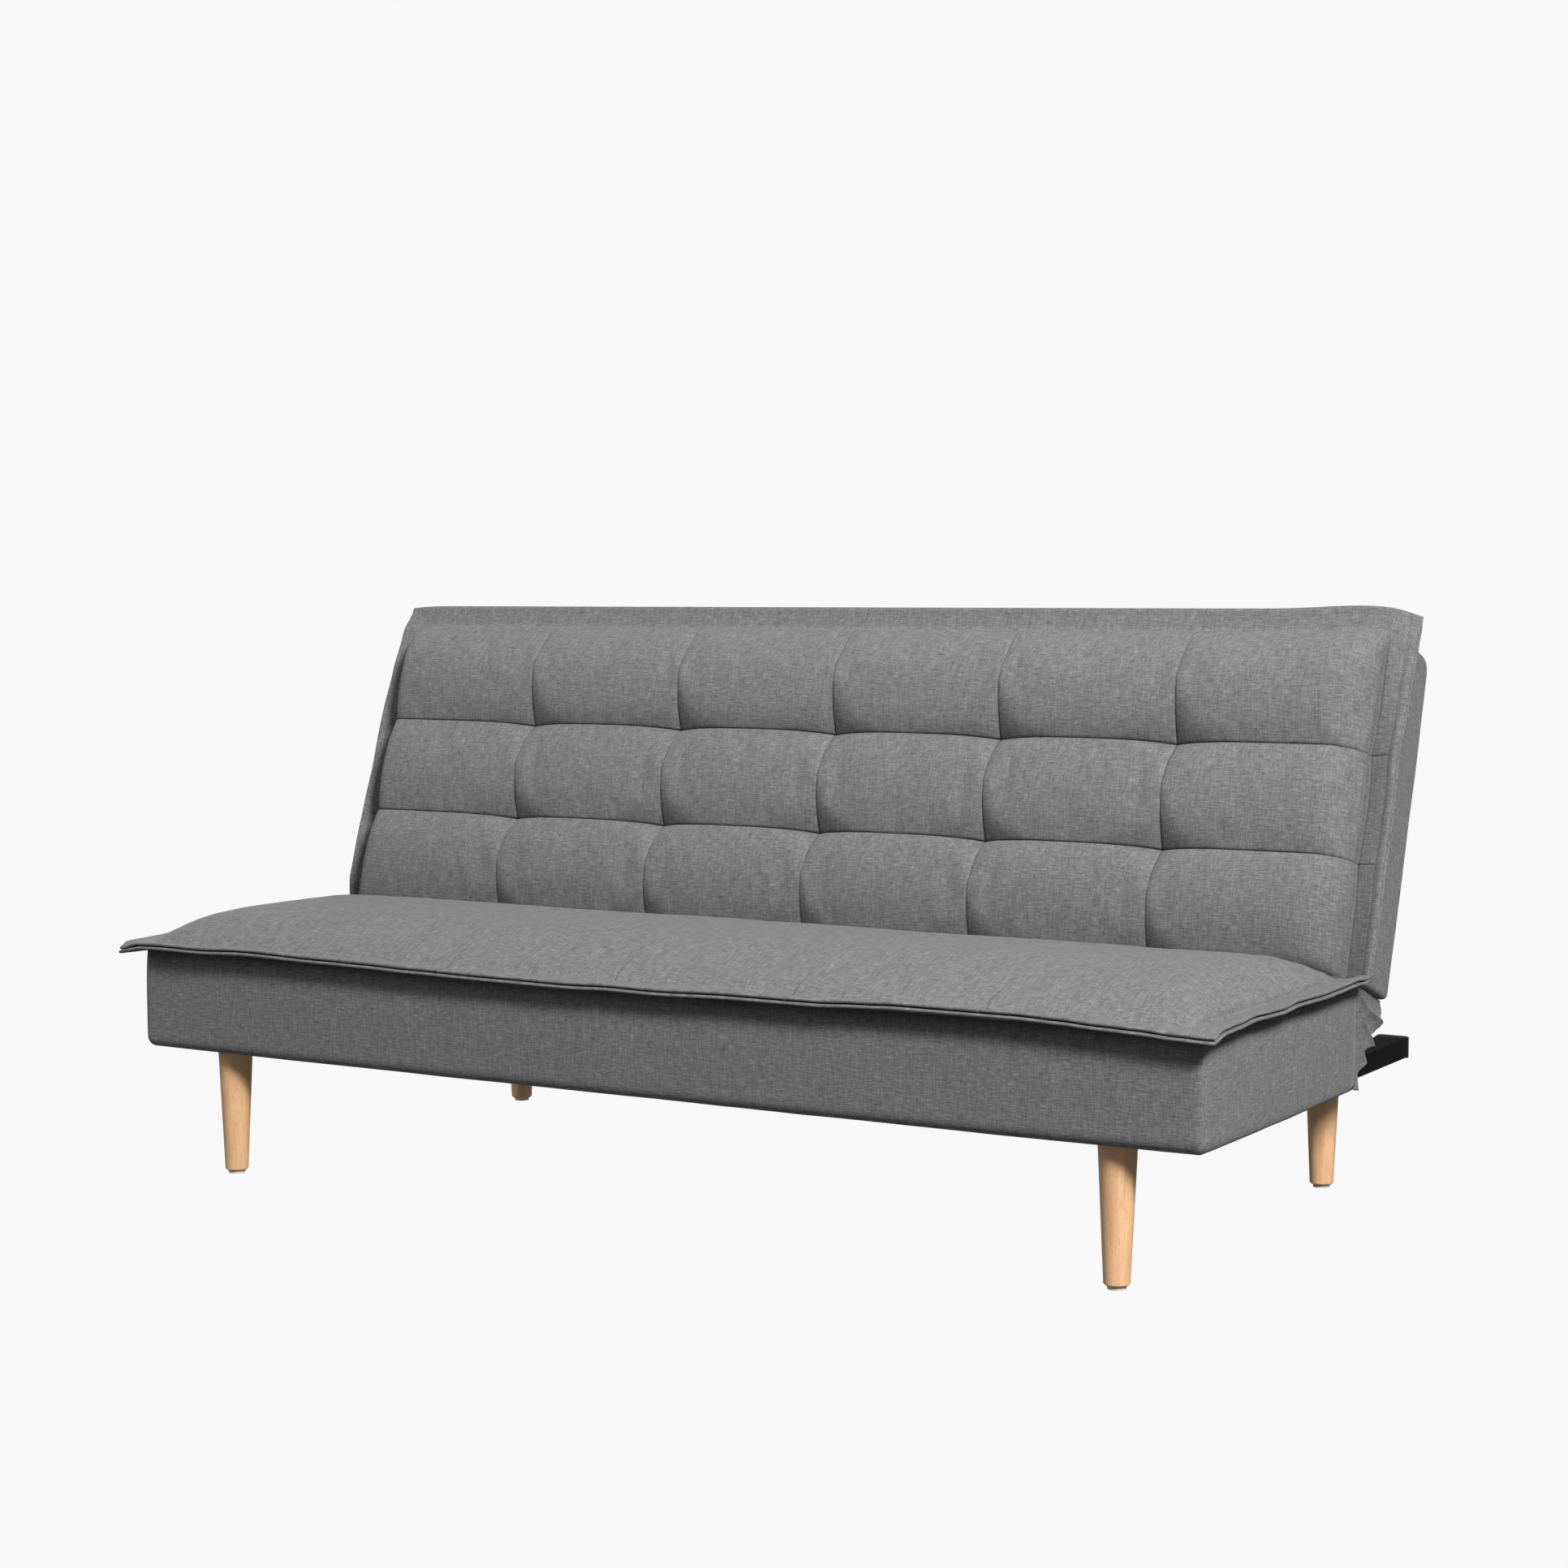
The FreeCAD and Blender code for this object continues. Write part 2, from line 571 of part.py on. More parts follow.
def make_seat_covers():
    """The padded aprons round the seat box and the cushion that lies on it."""
    apron_z = ("seat_bottom", "flange_bottom")
    low = value("seat_bottom")
    front = value("apron_front")
    panel = block("apron_front_pad", across("box_side"), ("apron_front", "board_front"), apron_z)
    panel = rounded("apron_front_round", panel, "apron_rounding", lambda edge: (
        abs(edge.CenterOfMass.y - front) < 1
        and (runs_along(edge, Vector(0, 0, 1)) or abs(edge.CenterOfMass.z - low) < 1)))
    keep(panel, "seat_apron_front")
    for side, hand in ((-1, "left"), (1, "right")):
        edge_x = value("box_side") * side
        panel = block(f"apron_pad_{hand}", span(side, "board_side", "box_side"),
                      ("board_front", "apron_rear"), apron_z)
        panel = rounded(f"apron_round_{hand}", panel, "apron_rounding", lambda edge: (
            abs(edge.CenterOfMass.x - edge_x) < 1 and abs(edge.CenterOfMass.z - low) < 1))
        keep(panel, f"seat_apron_{hand}")
    keep(block("apron_rear_pad", across("bay_side"), ("board_rear", "apron_rear"),
               ("rail_top", "flange_bottom")), "seat_apron_rear")
    cushion_y = ("front", "seat_end")
    keep(block("underside", across("half_width"), cushion_y, ("flange_bottom", "flange_mid")),
         "seat_cushion_underside")
    flange = block("seat_flange", across("half_width"), cushion_y, ("flange_mid", "flange_top"))
    padding = crown("seat_padding", across("half_width - flange_width"),
                    ("front + flange_width", "seat_end - crease_gap"),
                    ("flange_mid", "flange_top + seat_crown"), "seat_slope")
    keep(fuse("seat_cushion_whole", [flange, padding]), "seat_cushion")


def make_back_box():
    """The wooden back box with its slats and foam, laid out flat and swung up."""
    board_z = ("back_board_rear", "back_front")
    board_y = ("back_board_start", "back_board_end")
    keep(block("bottom_board", across("arm_inner - side_gap"), ("back_board_start", "back_inner_start"),
               board_z, tilted=True), "back_bottom_board")
    keep(block("top_board", across("arm_outer"), ("back_inner_end", "back_board_end"),
               board_z, tilted=True), "back_top_board")
    for side, hand in ((-1, "left"), (1, "right")):
        board = block(f"back_side_{hand}", span(side, "arm_outer", "back_board_side"), board_y,
                      board_z, tilted=True)
        bite_x = span(side, "arm_outer", "arm_outer + arm_bolt_bite + running_gap")
        holes = [pin(f"back_side_hole_{hand}_{index}", "arm_bolt_radius + running_gap", bite_x,
                     f"arm_length - {index + 0.5} * arm_bolt_pitch", "0", tilted=True)
                 for index in range(3)]
        keep(cut(f"back_side_drilled_{hand}", board, holes), f"back_side_board_{hand}")
    inner_y = ("back_inner_start", "back_inner_end")
    posts = []
    for side in (-1, 1):
        middle = f"{side} * beam_offset"
        post_x = (f"{middle} - back_board_thickness / 2", f"{middle} + back_board_thickness / 2")
        posts.append(block(f"back_post_{side + 1}", post_x, inner_y,
                           ("back_board_rear", "back_slat_rear"), tilted=True))
    group("back_centre_posts", posts)
    slats = []
    for index in range(int(sizes["slat_count"])):
        slat_x = spread("slat_count", index, "slat_width", "bay_side")
        slats.append(block(f"back_slat_{index}", slat_x, inner_y,
                           ("back_slat_rear", "back_slat_front"), tilted=True))
    group("back_slats", slats)
    keep(block("back_foam_slab", across("bay_side"), inner_y, ("back_slat_front", "back_front"),
               tilted=True), "back_foam")


def make_back_covers():
    """The fabric panels of the back box and the tufted cushion on its face."""
    z = ("back_rear", "back_front")
    for side, hand in ((-1, "left"), (1, "right")):
        keep(block(f"back_panel_{hand}", span(side, "back_board_side", "back_side"),
                   ("back_start", "back_board_end"), z, tilted=True), f"back_side_panel_{hand}")
    panel = block("back_top_pad", across("back_side"), ("back_board_end", "back_top"), z, tilted=True)
    fold = math.radians(value("fold"))
    up = Vector(0, math.cos(fold), math.sin(fold))
    out = Vector(0, -math.sin(fold), math.cos(fold))
    pivot = Vector(0, value("pivot_y"), value("pivot_z"))
    top, rear = value("back_top"), value("back_rear")
    panel = rounded("back_top_round", panel, "back_pad_thickness - 1", lambda edge: (
        runs_along(edge, Vector(1, 0, 0)) and abs((edge.CenterOfMass - pivot).dot(up) - top) < 1
        and abs((edge.CenterOfMass - pivot).dot(out) - rear) < 1))
    keep(panel, "back_top_panel")
    keep(block("back_bottom_pad", across("bay_side"), ("back_start", "back_board_start"), z,
               tilted=True), "back_bottom_panel")
    keep(block("back_rear_pad", across("back_board_side"), ("back_board_start", "back_board_end"),
               ("back_rear", "back_board_rear"), tilted=True), "back_rear_panel")
    cushion_y = ("back_start", "back_end")
    keep(block("back_underside", across("half_width"), cushion_y, ("back_front", "back_mid"),
               tilted=True), "back_cushion_underside")
    flange = block("back_flange", across("half_width"), cushion_y, ("back_mid", "back_mid + lip"),
                   tilted=True)
    padding = crown("back_padding", across("half_width - flange_width"),
                    ("back_start", "back_end - flange_width"),
                    ("back_mid", "back_mid + lip + back_crown"), "back_crown + lip", tilted=True)
    keep(fuse("back_cushion_whole", [flange, padding]), "back_cushion")


def make_hinge_arms():
    """The moving leaves: a hub on the pivot, a toothed sector under it and an arm up the back."""
    bolts = []
    for side, hand in ((-1, "left"), (1, "right")):
        x = span(side, "arm_inner", "arm_outer")
        half = "arm_width / 2"
        hub = pin(f"hub_{hand}", "hub_radius", x, "0", "0", tilted=True)
        bar = block(f"bar_{hand}", x, ("0", "arm_length"), (f"-{half}", half), tilted=True)
        disc = pin(f"disc_{hand}", "sector_radius", x, "0", "0", tilted=True)
        reach = "2 * sector_radius"
        rays = [("0", "0")]
        for step in range(3):
            angle = f"((sector_start + {step} * tooth_count * tooth_pitch / 2) * 1 deg)"
            rays.append((f"{reach} * cos{angle}", f"{reach} * sin{angle}"))
        slice_of_disc = doc.addObject("Part::MultiCommon", f"sector_{hand}")
        slice_of_disc.Shapes = [disc, plate(f"sector_rays_{hand}", rays, x, tilted=True)]
        blank = fuse(f"arm_blank_{hand}", [hub, bar, slice_of_disc])
        tools = [pin(f"arm_pivot_hole_{hand}", "pin_radius + running_gap", x, "0", "0", tilted=True)]
        for tooth in range(int(sizes["tooth_count"])):
            angle = f"((sector_start + ({tooth} + 0.5) * tooth_pitch) * 1 deg)"
            tools.append(pin(f"notch_{hand}_{tooth}", "tooth_radius", x, f"sector_radius * cos{angle}",
                             f"sector_radius * sin{angle}", tilted=True))
        for index in range(3):
            bolt_y = f"arm_length - {index + 0.5} * arm_bolt_pitch"
            tools.append(pin(f"arm_hole_{hand}_{index}", "arm_bolt_radius + running_gap", x, bolt_y, "0",
                             tilted=True))
            shank_x = span(side, "arm_inner", "arm_outer + arm_bolt_bite")
            head_x = span(side, "arm_inner - frame_bolt_head_height", "arm_inner")
            bolts.append(fuse(f"arm_bolt_{hand}_{index}", [
                pin(f"arm_shank_{hand}_{index}", "arm_bolt_radius", shank_x, bolt_y, "0", tilted=True),
                pin(f"arm_head_{hand}_{index}", "frame_bolt_head_radius", head_x, bolt_y, "0",
                    tilted=True)]))
        keep(cut(f"hinge_arm_{hand}", blank, tools), f"hinge_arm_{hand}")
    group("arm_bolts", bolts)


def make_crease_fabrics():
    """Loose cloth between seat and back: a strip along the crease and a gusset at each end."""
    keep(block("crease_strip", across("box_side"), ("seat_end + soft_gap", "crease"),
               ("flange_bottom + 2 * soft_gap", "flange_top - soft_gap")), "crease_fabric")
    for side, hand in ((-1, "left"), (1, "right")):
        # the back box's lower edge at rest, seen from the side, runs rearward and down
        slope = "tan(rake_angle * 1 deg)"
        edge_y, edge_z = "(crease + crease_gap)", "(flange_top + crease_gap * sin(rake_angle * 1 deg))"
        drop = "(soft_gap + lip)"
        near_y = "(crease + soft_gap)"
        near_z = f"({edge_z} - {drop} + ({edge_y} - {near_y}) * {slope})"
        far_y = "(crease + back_thickness * cos(rake_angle * 1 deg) - soft_gap)"
        far_z = f"({edge_z} - {drop} - ({far_y} - {edge_y}) * {slope})"
        bottom_z = "(seat_bottom + apron_rounding)"
        outline = [
            (near_y, bottom_z),
            (f"{near_y} + ({far_y} - {near_y}) * 0.3", f"{bottom_z} + ({far_z} - {bottom_z}) * 0.55"),
            (far_y, far_z),
            (near_y, near_z),
        ]
        x = span(side, "box_side - apron_thickness / 2", "box_side - soft_gap")
        keep(plate(f"gusset_{hand}", outline, x), f"gusset_{hand}")


def check_and_write():
    doc.recompute()
    for piece in doc.Objects:
        if "Invalid" in piece.State or "Error" in piece.State:
            raise RuntimeError(f"{piece.Label} failed: {piece.State}")
    os.makedirs("parts", exist_ok=True)
    for piece in nodes:
        shape = piece.Shape
        if shape.isNull() or not shape.isValid() or not shape.Solids:
            raise RuntimeError(f"{piece.Label} has no valid solid")
        shape.exportStep(f"parts/{piece.Label}.step")
    print(len(nodes), "sub-parts written")


sheet = make_sheet()
make_base_frame()
make_legs()
make_pawls()
make_seat_box()
make_seat_covers()
make_back_box()
make_back_covers()
make_hinge_arms()
make_crease_fabrics()
check_and_write()
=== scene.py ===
import json
import math

import bmesh
import bpy
import numpy as np
from mathutils import Matrix, Vector, noise


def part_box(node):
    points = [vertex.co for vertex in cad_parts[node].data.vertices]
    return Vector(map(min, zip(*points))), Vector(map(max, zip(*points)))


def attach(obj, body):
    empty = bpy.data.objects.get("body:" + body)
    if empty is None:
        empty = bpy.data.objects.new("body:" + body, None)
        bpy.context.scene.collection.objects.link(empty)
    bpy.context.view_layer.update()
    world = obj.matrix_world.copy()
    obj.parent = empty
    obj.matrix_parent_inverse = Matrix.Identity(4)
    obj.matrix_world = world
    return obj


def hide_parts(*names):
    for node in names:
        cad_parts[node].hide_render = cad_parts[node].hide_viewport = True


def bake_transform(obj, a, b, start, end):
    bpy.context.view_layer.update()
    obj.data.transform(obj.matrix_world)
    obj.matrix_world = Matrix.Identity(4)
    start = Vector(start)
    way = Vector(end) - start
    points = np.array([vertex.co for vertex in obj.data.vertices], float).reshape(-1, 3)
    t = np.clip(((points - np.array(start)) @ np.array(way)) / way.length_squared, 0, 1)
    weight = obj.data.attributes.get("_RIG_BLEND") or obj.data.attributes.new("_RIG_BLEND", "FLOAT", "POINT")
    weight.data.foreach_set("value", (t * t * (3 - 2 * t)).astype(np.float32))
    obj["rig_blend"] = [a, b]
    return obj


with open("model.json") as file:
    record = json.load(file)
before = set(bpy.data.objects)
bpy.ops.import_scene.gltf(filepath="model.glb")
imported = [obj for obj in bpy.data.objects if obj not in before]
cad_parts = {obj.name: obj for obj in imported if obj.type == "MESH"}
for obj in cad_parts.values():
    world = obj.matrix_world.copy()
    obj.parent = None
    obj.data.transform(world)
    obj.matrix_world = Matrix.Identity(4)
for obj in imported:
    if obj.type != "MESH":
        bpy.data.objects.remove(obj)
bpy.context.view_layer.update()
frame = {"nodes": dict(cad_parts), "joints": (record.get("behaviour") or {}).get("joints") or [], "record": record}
mm = 0.001

# The back turns about this pivot. Its pieces are shaped lying flat, as in the bed, and then swung up to rest.
recline = next(joint for joint in frame["joints"] if joint["name"] == "back_recline")
pivot = Vector(recline["pos_m"])
foldAngle = math.radians(recline["range_deg"][1])
swing = Matrix.Translation(pivot) @ Matrix.Rotation(foldAngle, 4, "X")
still = Matrix.Identity(4)


def flatBox(node, place=still):
    # a CAD node's lowest and highest corners, with the back laid flat about the pivot if place is swing
    points = np.array([place.inverted() @ vertex.co for vertex in frame["nodes"][node].data.vertices])
    return points.min(axis=0), points.max(axis=0)


def ease(value):
    value = np.clip(value, 0, 1)
    return value * value * (3 - 2 * value)


def curveThrough(points, where):
    # a smooth line through (place, height) pairs
    places, heights = np.array(points).T
    index = np.clip(np.searchsorted(places, where) - 1, 0, len(places) - 2)
    share = ease((where - places[index]) / (places[index + 1] - places[index]))
    return heights[index] + (heights[index + 1] - heights[index]) * share


def ruffle(x, y, size, seed=0.0):
    # smooth noise from -1 to 1 on arrays of places, with waves of about the given size
    flat = zip(np.ravel(x) / size, np.ravel(y) / size)
    return np.array([noise.noise(Vector((u, v, seed))) for u, v in flat]).reshape(np.shape(x))


def resample(grid, coarse, fine, axis):
    # Catmull-Rom between evenly spaced lines
    step = coarse[1] - coarse[0]
    place = np.clip((fine - coarse[0]) / step, 0, len(coarse) - 1)
    base = np.minimum(place.astype(int), len(coarse) - 2)
    t = place - base
    weights = (
        (-t + 2 * t**2 - t**3) / 2,
        (2 - 5 * t**2 + 3 * t**3) / 2,
        (t + 4 * t**2 - 3 * t**3) / 2,
        (-t**2 + t**3) / 2,
    )
    total = 0
    for offset, weight in zip((-1, 0, 1, 2), weights):
        index = np.clip(base + offset, 0, len(coarse) - 1)
        shape = [1] * grid.ndim
        shape[axis] = len(fine)
        total = total + np.take(grid, index, axis=axis) * weight.reshape(shape)
    return total


def link(name, data):
    thing = bpy.data.objects.new(name, data)
    bpy.context.scene.collection.objects.link(thing)
    return thing


def boxBetween(low, high):
    bm = bmesh.new()
    bmesh.ops.create_cube(bm, size=1.0)
    for vertex in bm.verts:
        for axis in range(3):
            vertex.co[axis] = low[axis] if vertex.co[axis] < 0 else high[axis]
    return bm


def roundEdges(bm, edges, radius, segments=4):
    bmesh.ops.bevel(bm, geom=edges, offset=radius, segments=segments, profile=0.5, affect="EDGES",
                    material=-1)


def linear(hexColour):
    # sRGB hex to the linear colour that nodes use
    channels = [int(hexColour[i:i + 2], 16) / 255 for i in (0, 2, 4)]
    return tuple(c / 12.92 if c <= 0.04045 else ((c + 0.055) / 1.055) ** 2.4 for c in channels) + (1.0,)


def addNode(tree, kind, settings=None, links=None):
    # one node with its settings; links maps an input to a socket of another node
    node = tree.nodes.new(kind)
    for name, value in (settings or {}).items():
        if name in node.inputs:
            node.inputs[name].default_value = value
        else:
            setattr(node, name, value)
    for name, socket in (links or {}).items():
        tree.links.new(socket, node.inputs[name])
    return node


def newMaterial(name, settings):
    # a material with a Principled shader, whose plain values are set on the shader's own sockets
    material = bpy.data.materials.new(name)
    material.use_nodes = True
    tree = material.node_tree
    tree.nodes.clear()
    shader = addNode(tree, "ShaderNodeBsdfPrincipled", settings)
    output = addNode(tree, "ShaderNodeOutputMaterial")
    tree.links.new(shader.outputs["BSDF"], output.inputs["Surface"])
    return material, tree, shader


def ramp(tree, source, stops):
    node = addNode(tree, "ShaderNodeValToRGB", links={"Fac": source})
    elements = node.color_ramp.elements
    while len(elements) < len(stops):
        elements.new(0.5)
    for element, (place, colour) in zip(elements, stops):
        element.position = place
        element.color = colour if len(colour) == 4 else (colour[0],) * 3 + (1.0,)
    return node


def stretchedNoise(tree, coordinates, sizesMm, detail, roughness=0.5, shift=0.0):
    # noise of a real size along each coordinate; the coordinates are in metres
    mapping = addNode(tree, "ShaderNodeMapping", {
        "Scale": tuple(1 / (size * mm) for size in sizesMm),
        "Location": (shift, shift, shift),
    }, {"Vector": coordinates})
    pattern = addNode(tree, "ShaderNodeTexNoise", {"Scale": 1.0, "Detail": detail, "Roughness": roughness},
                      {"Vector": mapping.outputs["Vector"]})
    return pattern.outputs["Fac"]


def mixColours(tree, share, under, over, shader):
    # a plain colour over a pattern, into the shader's base colour
    mixed = addNode(tree, "ShaderNodeMix", {"data_type": "RGBA"})
    tree.links.new(share, mixed.inputs[0])
    tree.links.new(under, mixed.inputs[6])
    mixed.inputs[7].default_value = linear(over)
    tree.links.new(mixed.outputs[2], shader.inputs["Base Color"])


def addBump(tree, height, strength, reachMm, shader):
    bump = addNode(tree, "ShaderNodeBump", {"Strength": strength, "Distance": reachMm * mm},
                   {"Height": height})
    tree.links.new(bump.outputs["Normal"], shader.inputs["Normal"])


linen = {
    "shade": "4b4b4b", "mid": "6f6f6f", "light": "959595", "stitch": "121212",
    # length, width, share of the tone and shift of each set of yarns: slubs and streaks both ways, then the
    # grain; a real thread is about 0.8 mm wide, too fine to show, so the weave is drawn twice as coarse
    "yarnsMm": [(15.0, 1.6, 0.62, 0.0), (1.6, 15.0, 0.46, 7.3), (40.0, 1.9, 0.2, 3.7),
                (1.9, 40.0, 0.12, 17.1), (1.35, 1.35, 0.6, 3.1)],
    "bumpMm": 0.35,
}


def melangeLinen(name):
    # Polyester linen, plain woven from light and dark yarns: matt, pale slubs both ways over a fine grain
    material, tree, shader = newMaterial(name, {
        "Roughness": 0.9, "Specular IOR Level": 0.2, "Sheen Weight": 0.1, "Sheen Roughness": 0.5,
    })
    uv = addNode(tree, "ShaderNodeUVMap", {"uv_map": "weave"}).outputs["UV"]
    tone = addNode(tree, "ShaderNodeValue").outputs["Value"]
    tone.default_value = 0.5
    for length, width, weight, shift in linen["yarnsMm"]:
        # adds the yarn's swing about its middle
        swung = addNode(tree, "ShaderNodeMath", {"operation": "MULTIPLY_ADD"})
        yarn = stretchedNoise(tree, uv, (length, width, 1000.0), 1.0, 0.6, shift)
        tree.links.new(yarn, swung.inputs[0])
        swung.inputs[1].default_value = weight
        tree.links.new(tone, swung.inputs[2])
        centred = addNode(tree, "ShaderNodeMath", {"operation": "SUBTRACT"})
        tree.links.new(swung.outputs["Value"], centred.inputs[0])
        centred.inputs[1].default_value = weight / 2
        tone = centred.outputs["Value"]
    colours = ramp(tree, tone, [
        (0.15, linear(linen["shade"])), (0.5, linear(linen["mid"])), (0.85, linear(linen["light"])),
    ])
    # the stitch attribute darkens the cloth towards the stitch colour: dark thread in the seams, and painted shade
    # at the knots, along the padding's edge and low down by the crease
    stitch = addNode(tree, "ShaderNodeAttribute", {"attribute_name": "stitch"})
    mixColours(tree, stitch.outputs["Fac"], colours.outputs["Color"], linen["stitch"], shader)
    addBump(tree, tone, 0.5, linen["bumpMm"], shader)
    return material


beechWood = {"pale": "f4c696", "warm": "e0af80", "fleck": "bd8d62",
             "grainMm": (6.6, 6.6, 90.0), "fleckMm": (1.4, 1.4, 9.0)}


def beech(name):
    # Steamed beech, turned and clear-lacquered: pale, fine straight grain along the leg, short dark flecks
    material, tree, shader = newMaterial(name, {
        "Roughness": 0.42, "Coat Weight": 0.15, "Coat Roughness": 0.3,
    })
    place = addNode(tree, "ShaderNodeTexCoord").outputs["Object"]
    grain = stretchedNoise(tree, place, beechWood["grainMm"], 4.0, 0.6)
    colours = ramp(tree, grain, [(0.3, linear(beechWood["warm"])), (0.7, linear(beechWood["pale"]))])
    fleck = stretchedNoise(tree, place, beechWood["fleckMm"], 1.0)
    spots = ramp(tree, fleck, [(0.62, (0.0,)), (0.72, (0.55,))])
    mixColours(tree, spots.outputs["Color"], colours.outputs["Color"], beechWood["fleck"], shader)
    addBump(tree, grain, 0.15, 0.2, shader)
    return material


def grainySolid(name, low, high, sizesMm, settings, bumpMm):
    # a finish whose tone and relief vary over noise of a real size, on the piece's own coordinates
    material, tree, shader = newMaterial(name, settings)
    place = addNode(tree, "ShaderNodeTexCoord").outputs["Object"]
    grain = stretchedNoise(tree, place, sizesMm, 3.0)
    colours = ramp(tree, grain, [(0.3, linear(low)), (0.7, linear(high))])
    tree.links.new(colours.outputs["Color"], shader.inputs["Base Color"])
    addBump(tree, grain, 0.5, bumpMm, shader)
    return material


def makeFinishes():
    return {
        "grey_fabric": melangeLinen("melangeLinen"),
        "beech": beech("lacqueredBeech"),
        # Powder coat, sprayed and baked: black, with a fine orange peel
        "black_steel": grainySolid("blackPowderCoat", "030303", "070707", (2.5, 2.5, 2.5),
                                   {"Roughness": 0.5, "Specular IOR Level": 0.08}, 0.12),
        # Zinc plating on pressed steel: grey, with soft clouds
        "zinc_steel": grainySolid("zincPlatedSteel", "a9abad", "c6c7c9", (18, 18, 18),
                                  {"Metallic": 1.0, "Roughness": 0.38}, 0.05),
        # Polyethylene cap, injection moulded: black, spark-eroded grain
        "black_plastic": grainySolid("mouldedPolyethylene", "121212", "191919", (0.9, 0.9, 0.9),
                                     {"Roughness": 0.6}, 0.06),
        # Nylon glide, injection moulded: off-white, slightly satin
        "glide_plastic": grainySolid("nylonGlide", "cfc4b2", "dbd1c0", (1.5, 1.5, 1.5),
                                     {"Roughness": 0.5}, 0.05),
        # Sawn pine boards and slats, unfinished: long grain, dusty
        "frame_wood": grainySolid("sawnPine", "b98f5f", "d9b88a", (60, 5, 5), {"Roughness": 0.8}, 0.3),
        # Polyurethane foam, cut from a block: open cells
        "foam": grainySolid("polyurethaneFoam", "d9cfa8", "e8e0bf", (3, 3, 3), {"Roughness": 0.95}, 0.8),
        # Spun-bonded polypropylene dust cloth: black felted sheet with a fine pressed grain
        "dust_cloth": grainySolid("spunbondedDustCloth", "161616", "262626", (2.0, 2.0, 2.0),
                                  {"Roughness": 0.95}, 0.3),
    }


# Each cushion is a crowned top sheet and a flat under sheet, both with a rolled lip round the flange.
lip = {
    # outwards and away from the flange's face
    "topMm": [(0.9, 0.25), (1.7, 0.9), (2.0, 1.9), (1.6, 3.2), (0.6, 4.2)],
    "underMm": [(1.6, 0.3), (3.0, 1.1), (3.6, 2.3), (3.0, 3.6), (1.2, 4.5), (-0.6, 4.7)],
    "tuckMm": 9.0,
    "seatMm": 34.0,
    "slitMm": 0.9,
    "stitchMm": (9.5, 11.0, 13.0),
}

seatCushion = {
    "flange": 40 * mm, "frontToe": 26 * mm, "crown": 49 * mm,
    # how far in the padding takes to fill up, and the shape of its shoulder; the sides are left and right
    "frontRoll": (230 * mm, 2.6, 0.72), "rearRoll": (280 * mm, 2, 0.85),
    "sideRoll": ((205 * mm, 2.2, 0.44), (140 * mm, 2.2, 0.52)),
    "columns": 6, "cell": 11 * mm,
    # how far the flange's edge stands above its flat level: along the front, and back from the front corner
    "frontEdge": [(-900, 1), (-870, 4), (-816, 5), (-740, 4), (-654, 7), (-498, 4), (-420, 3), (-348, 1),
                  (-202, -1), (-62, -2), (0, 0), (73, -1), (204, 2), (330, 2), (400, 5), (453, 7), (630, 7),
                  (686, 5), (740, 2), (797, 0), (840, -3), (900, -5)],
    "sideEdge": [(0, -5), (20, 3), (45, 4), (80, 5), (140, 8), (200, 6), (240, 5), (280, 8), (400, 6),
                 (440, 7), (520, 9), (550, 7), (565, 9)],
    "seam": 1.0 * mm, "seamReach": 70 * mm,  # the seams fade out behind the front edge
    "crinkle": (0.7 * mm, 40 * mm), "drift": (1.5 * mm, 190 * mm),  # height and size of waves in the cloth
    "pressure": 2.2, "cap": 7 * mm, "fill": 0.7,
}

backCushion = {
    "flange": 40 * mm, "columns": 6, "cell": 9 * mm,
    "rowsFromCrease": (9 * mm, 168 * mm, 327 * mm),
    "knot": 37 * mm, "rowCrest": 62 * mm, "crest": 71 * mm,  # heights over the flange's middle
    "sag": -0.06,  # how far below its middle the fullest part of a pillow hangs
    "squareness": (2.6, 2.2),  # higher keeps a pillow full closer to its upright and its level seams
    "funnel": (0.3, 0.35, 0.02),  # how a pillow falls to its corners
    "sideRoll": (26 * mm, 62 * mm),  # left and right
    "topRoll": (84 * mm, 2.2, 0.58), "bottomRoll": (16 * mm, 2, 0.5),
    # the sides are drawn in at each row over this length, fading out over this width
    "rowPull": 3.5 * mm, "pullLength": 34 * mm, "pullEdge": 130 * mm, "pullWidth": 90 * mm,
    "bottomReach": 9 * mm,
    "topSwell": (0 * mm, 5 * mm),  # the top edge rises a little beside the right corner
    # how far the side flange leans back, up from the crease
    "rightLean": [(0, 14), (7, 14), (181, 8), (331, 11), (420, 0), (493, -9), (545, -13)],
    "leftLean": [(0, 10), (12, 12), (60, 24), (168, 27), (250, 23), (327, 27), (420, 20), (493, 13),
                 (545, 0)],
    "topDroop": 2 * mm, "topFold": 46 * mm,  # the top flange bends back a little
    "leftSpread": 6 * mm,  # the left end is stuffed out a little further than the right
    "cornerDrop": (4 * mm, 8 * mm), "cornerReach": 88 * mm, "cornerHeight": 110 * mm,
    # depths of the upright seams and of the rows, plain and added at a knot, and of the gathers beside them
    "seamMm": (1.2, 3.4), "rowMm": (2.2, 2.6), "gatherMm": (0.7, 0.8),
    "weltMm": 1.0, "edgeRollMm": 0.8, "crinkle": (0.6 * mm, 30 * mm),
    "creaseShadeShare": 0.17, "creaseShadeReach": 190 * mm,  # painted shade: the cloth is darkened low down, towards the crease
    "pressure": 3.5, "cap": 8 * mm, "fill": 0.85,
}


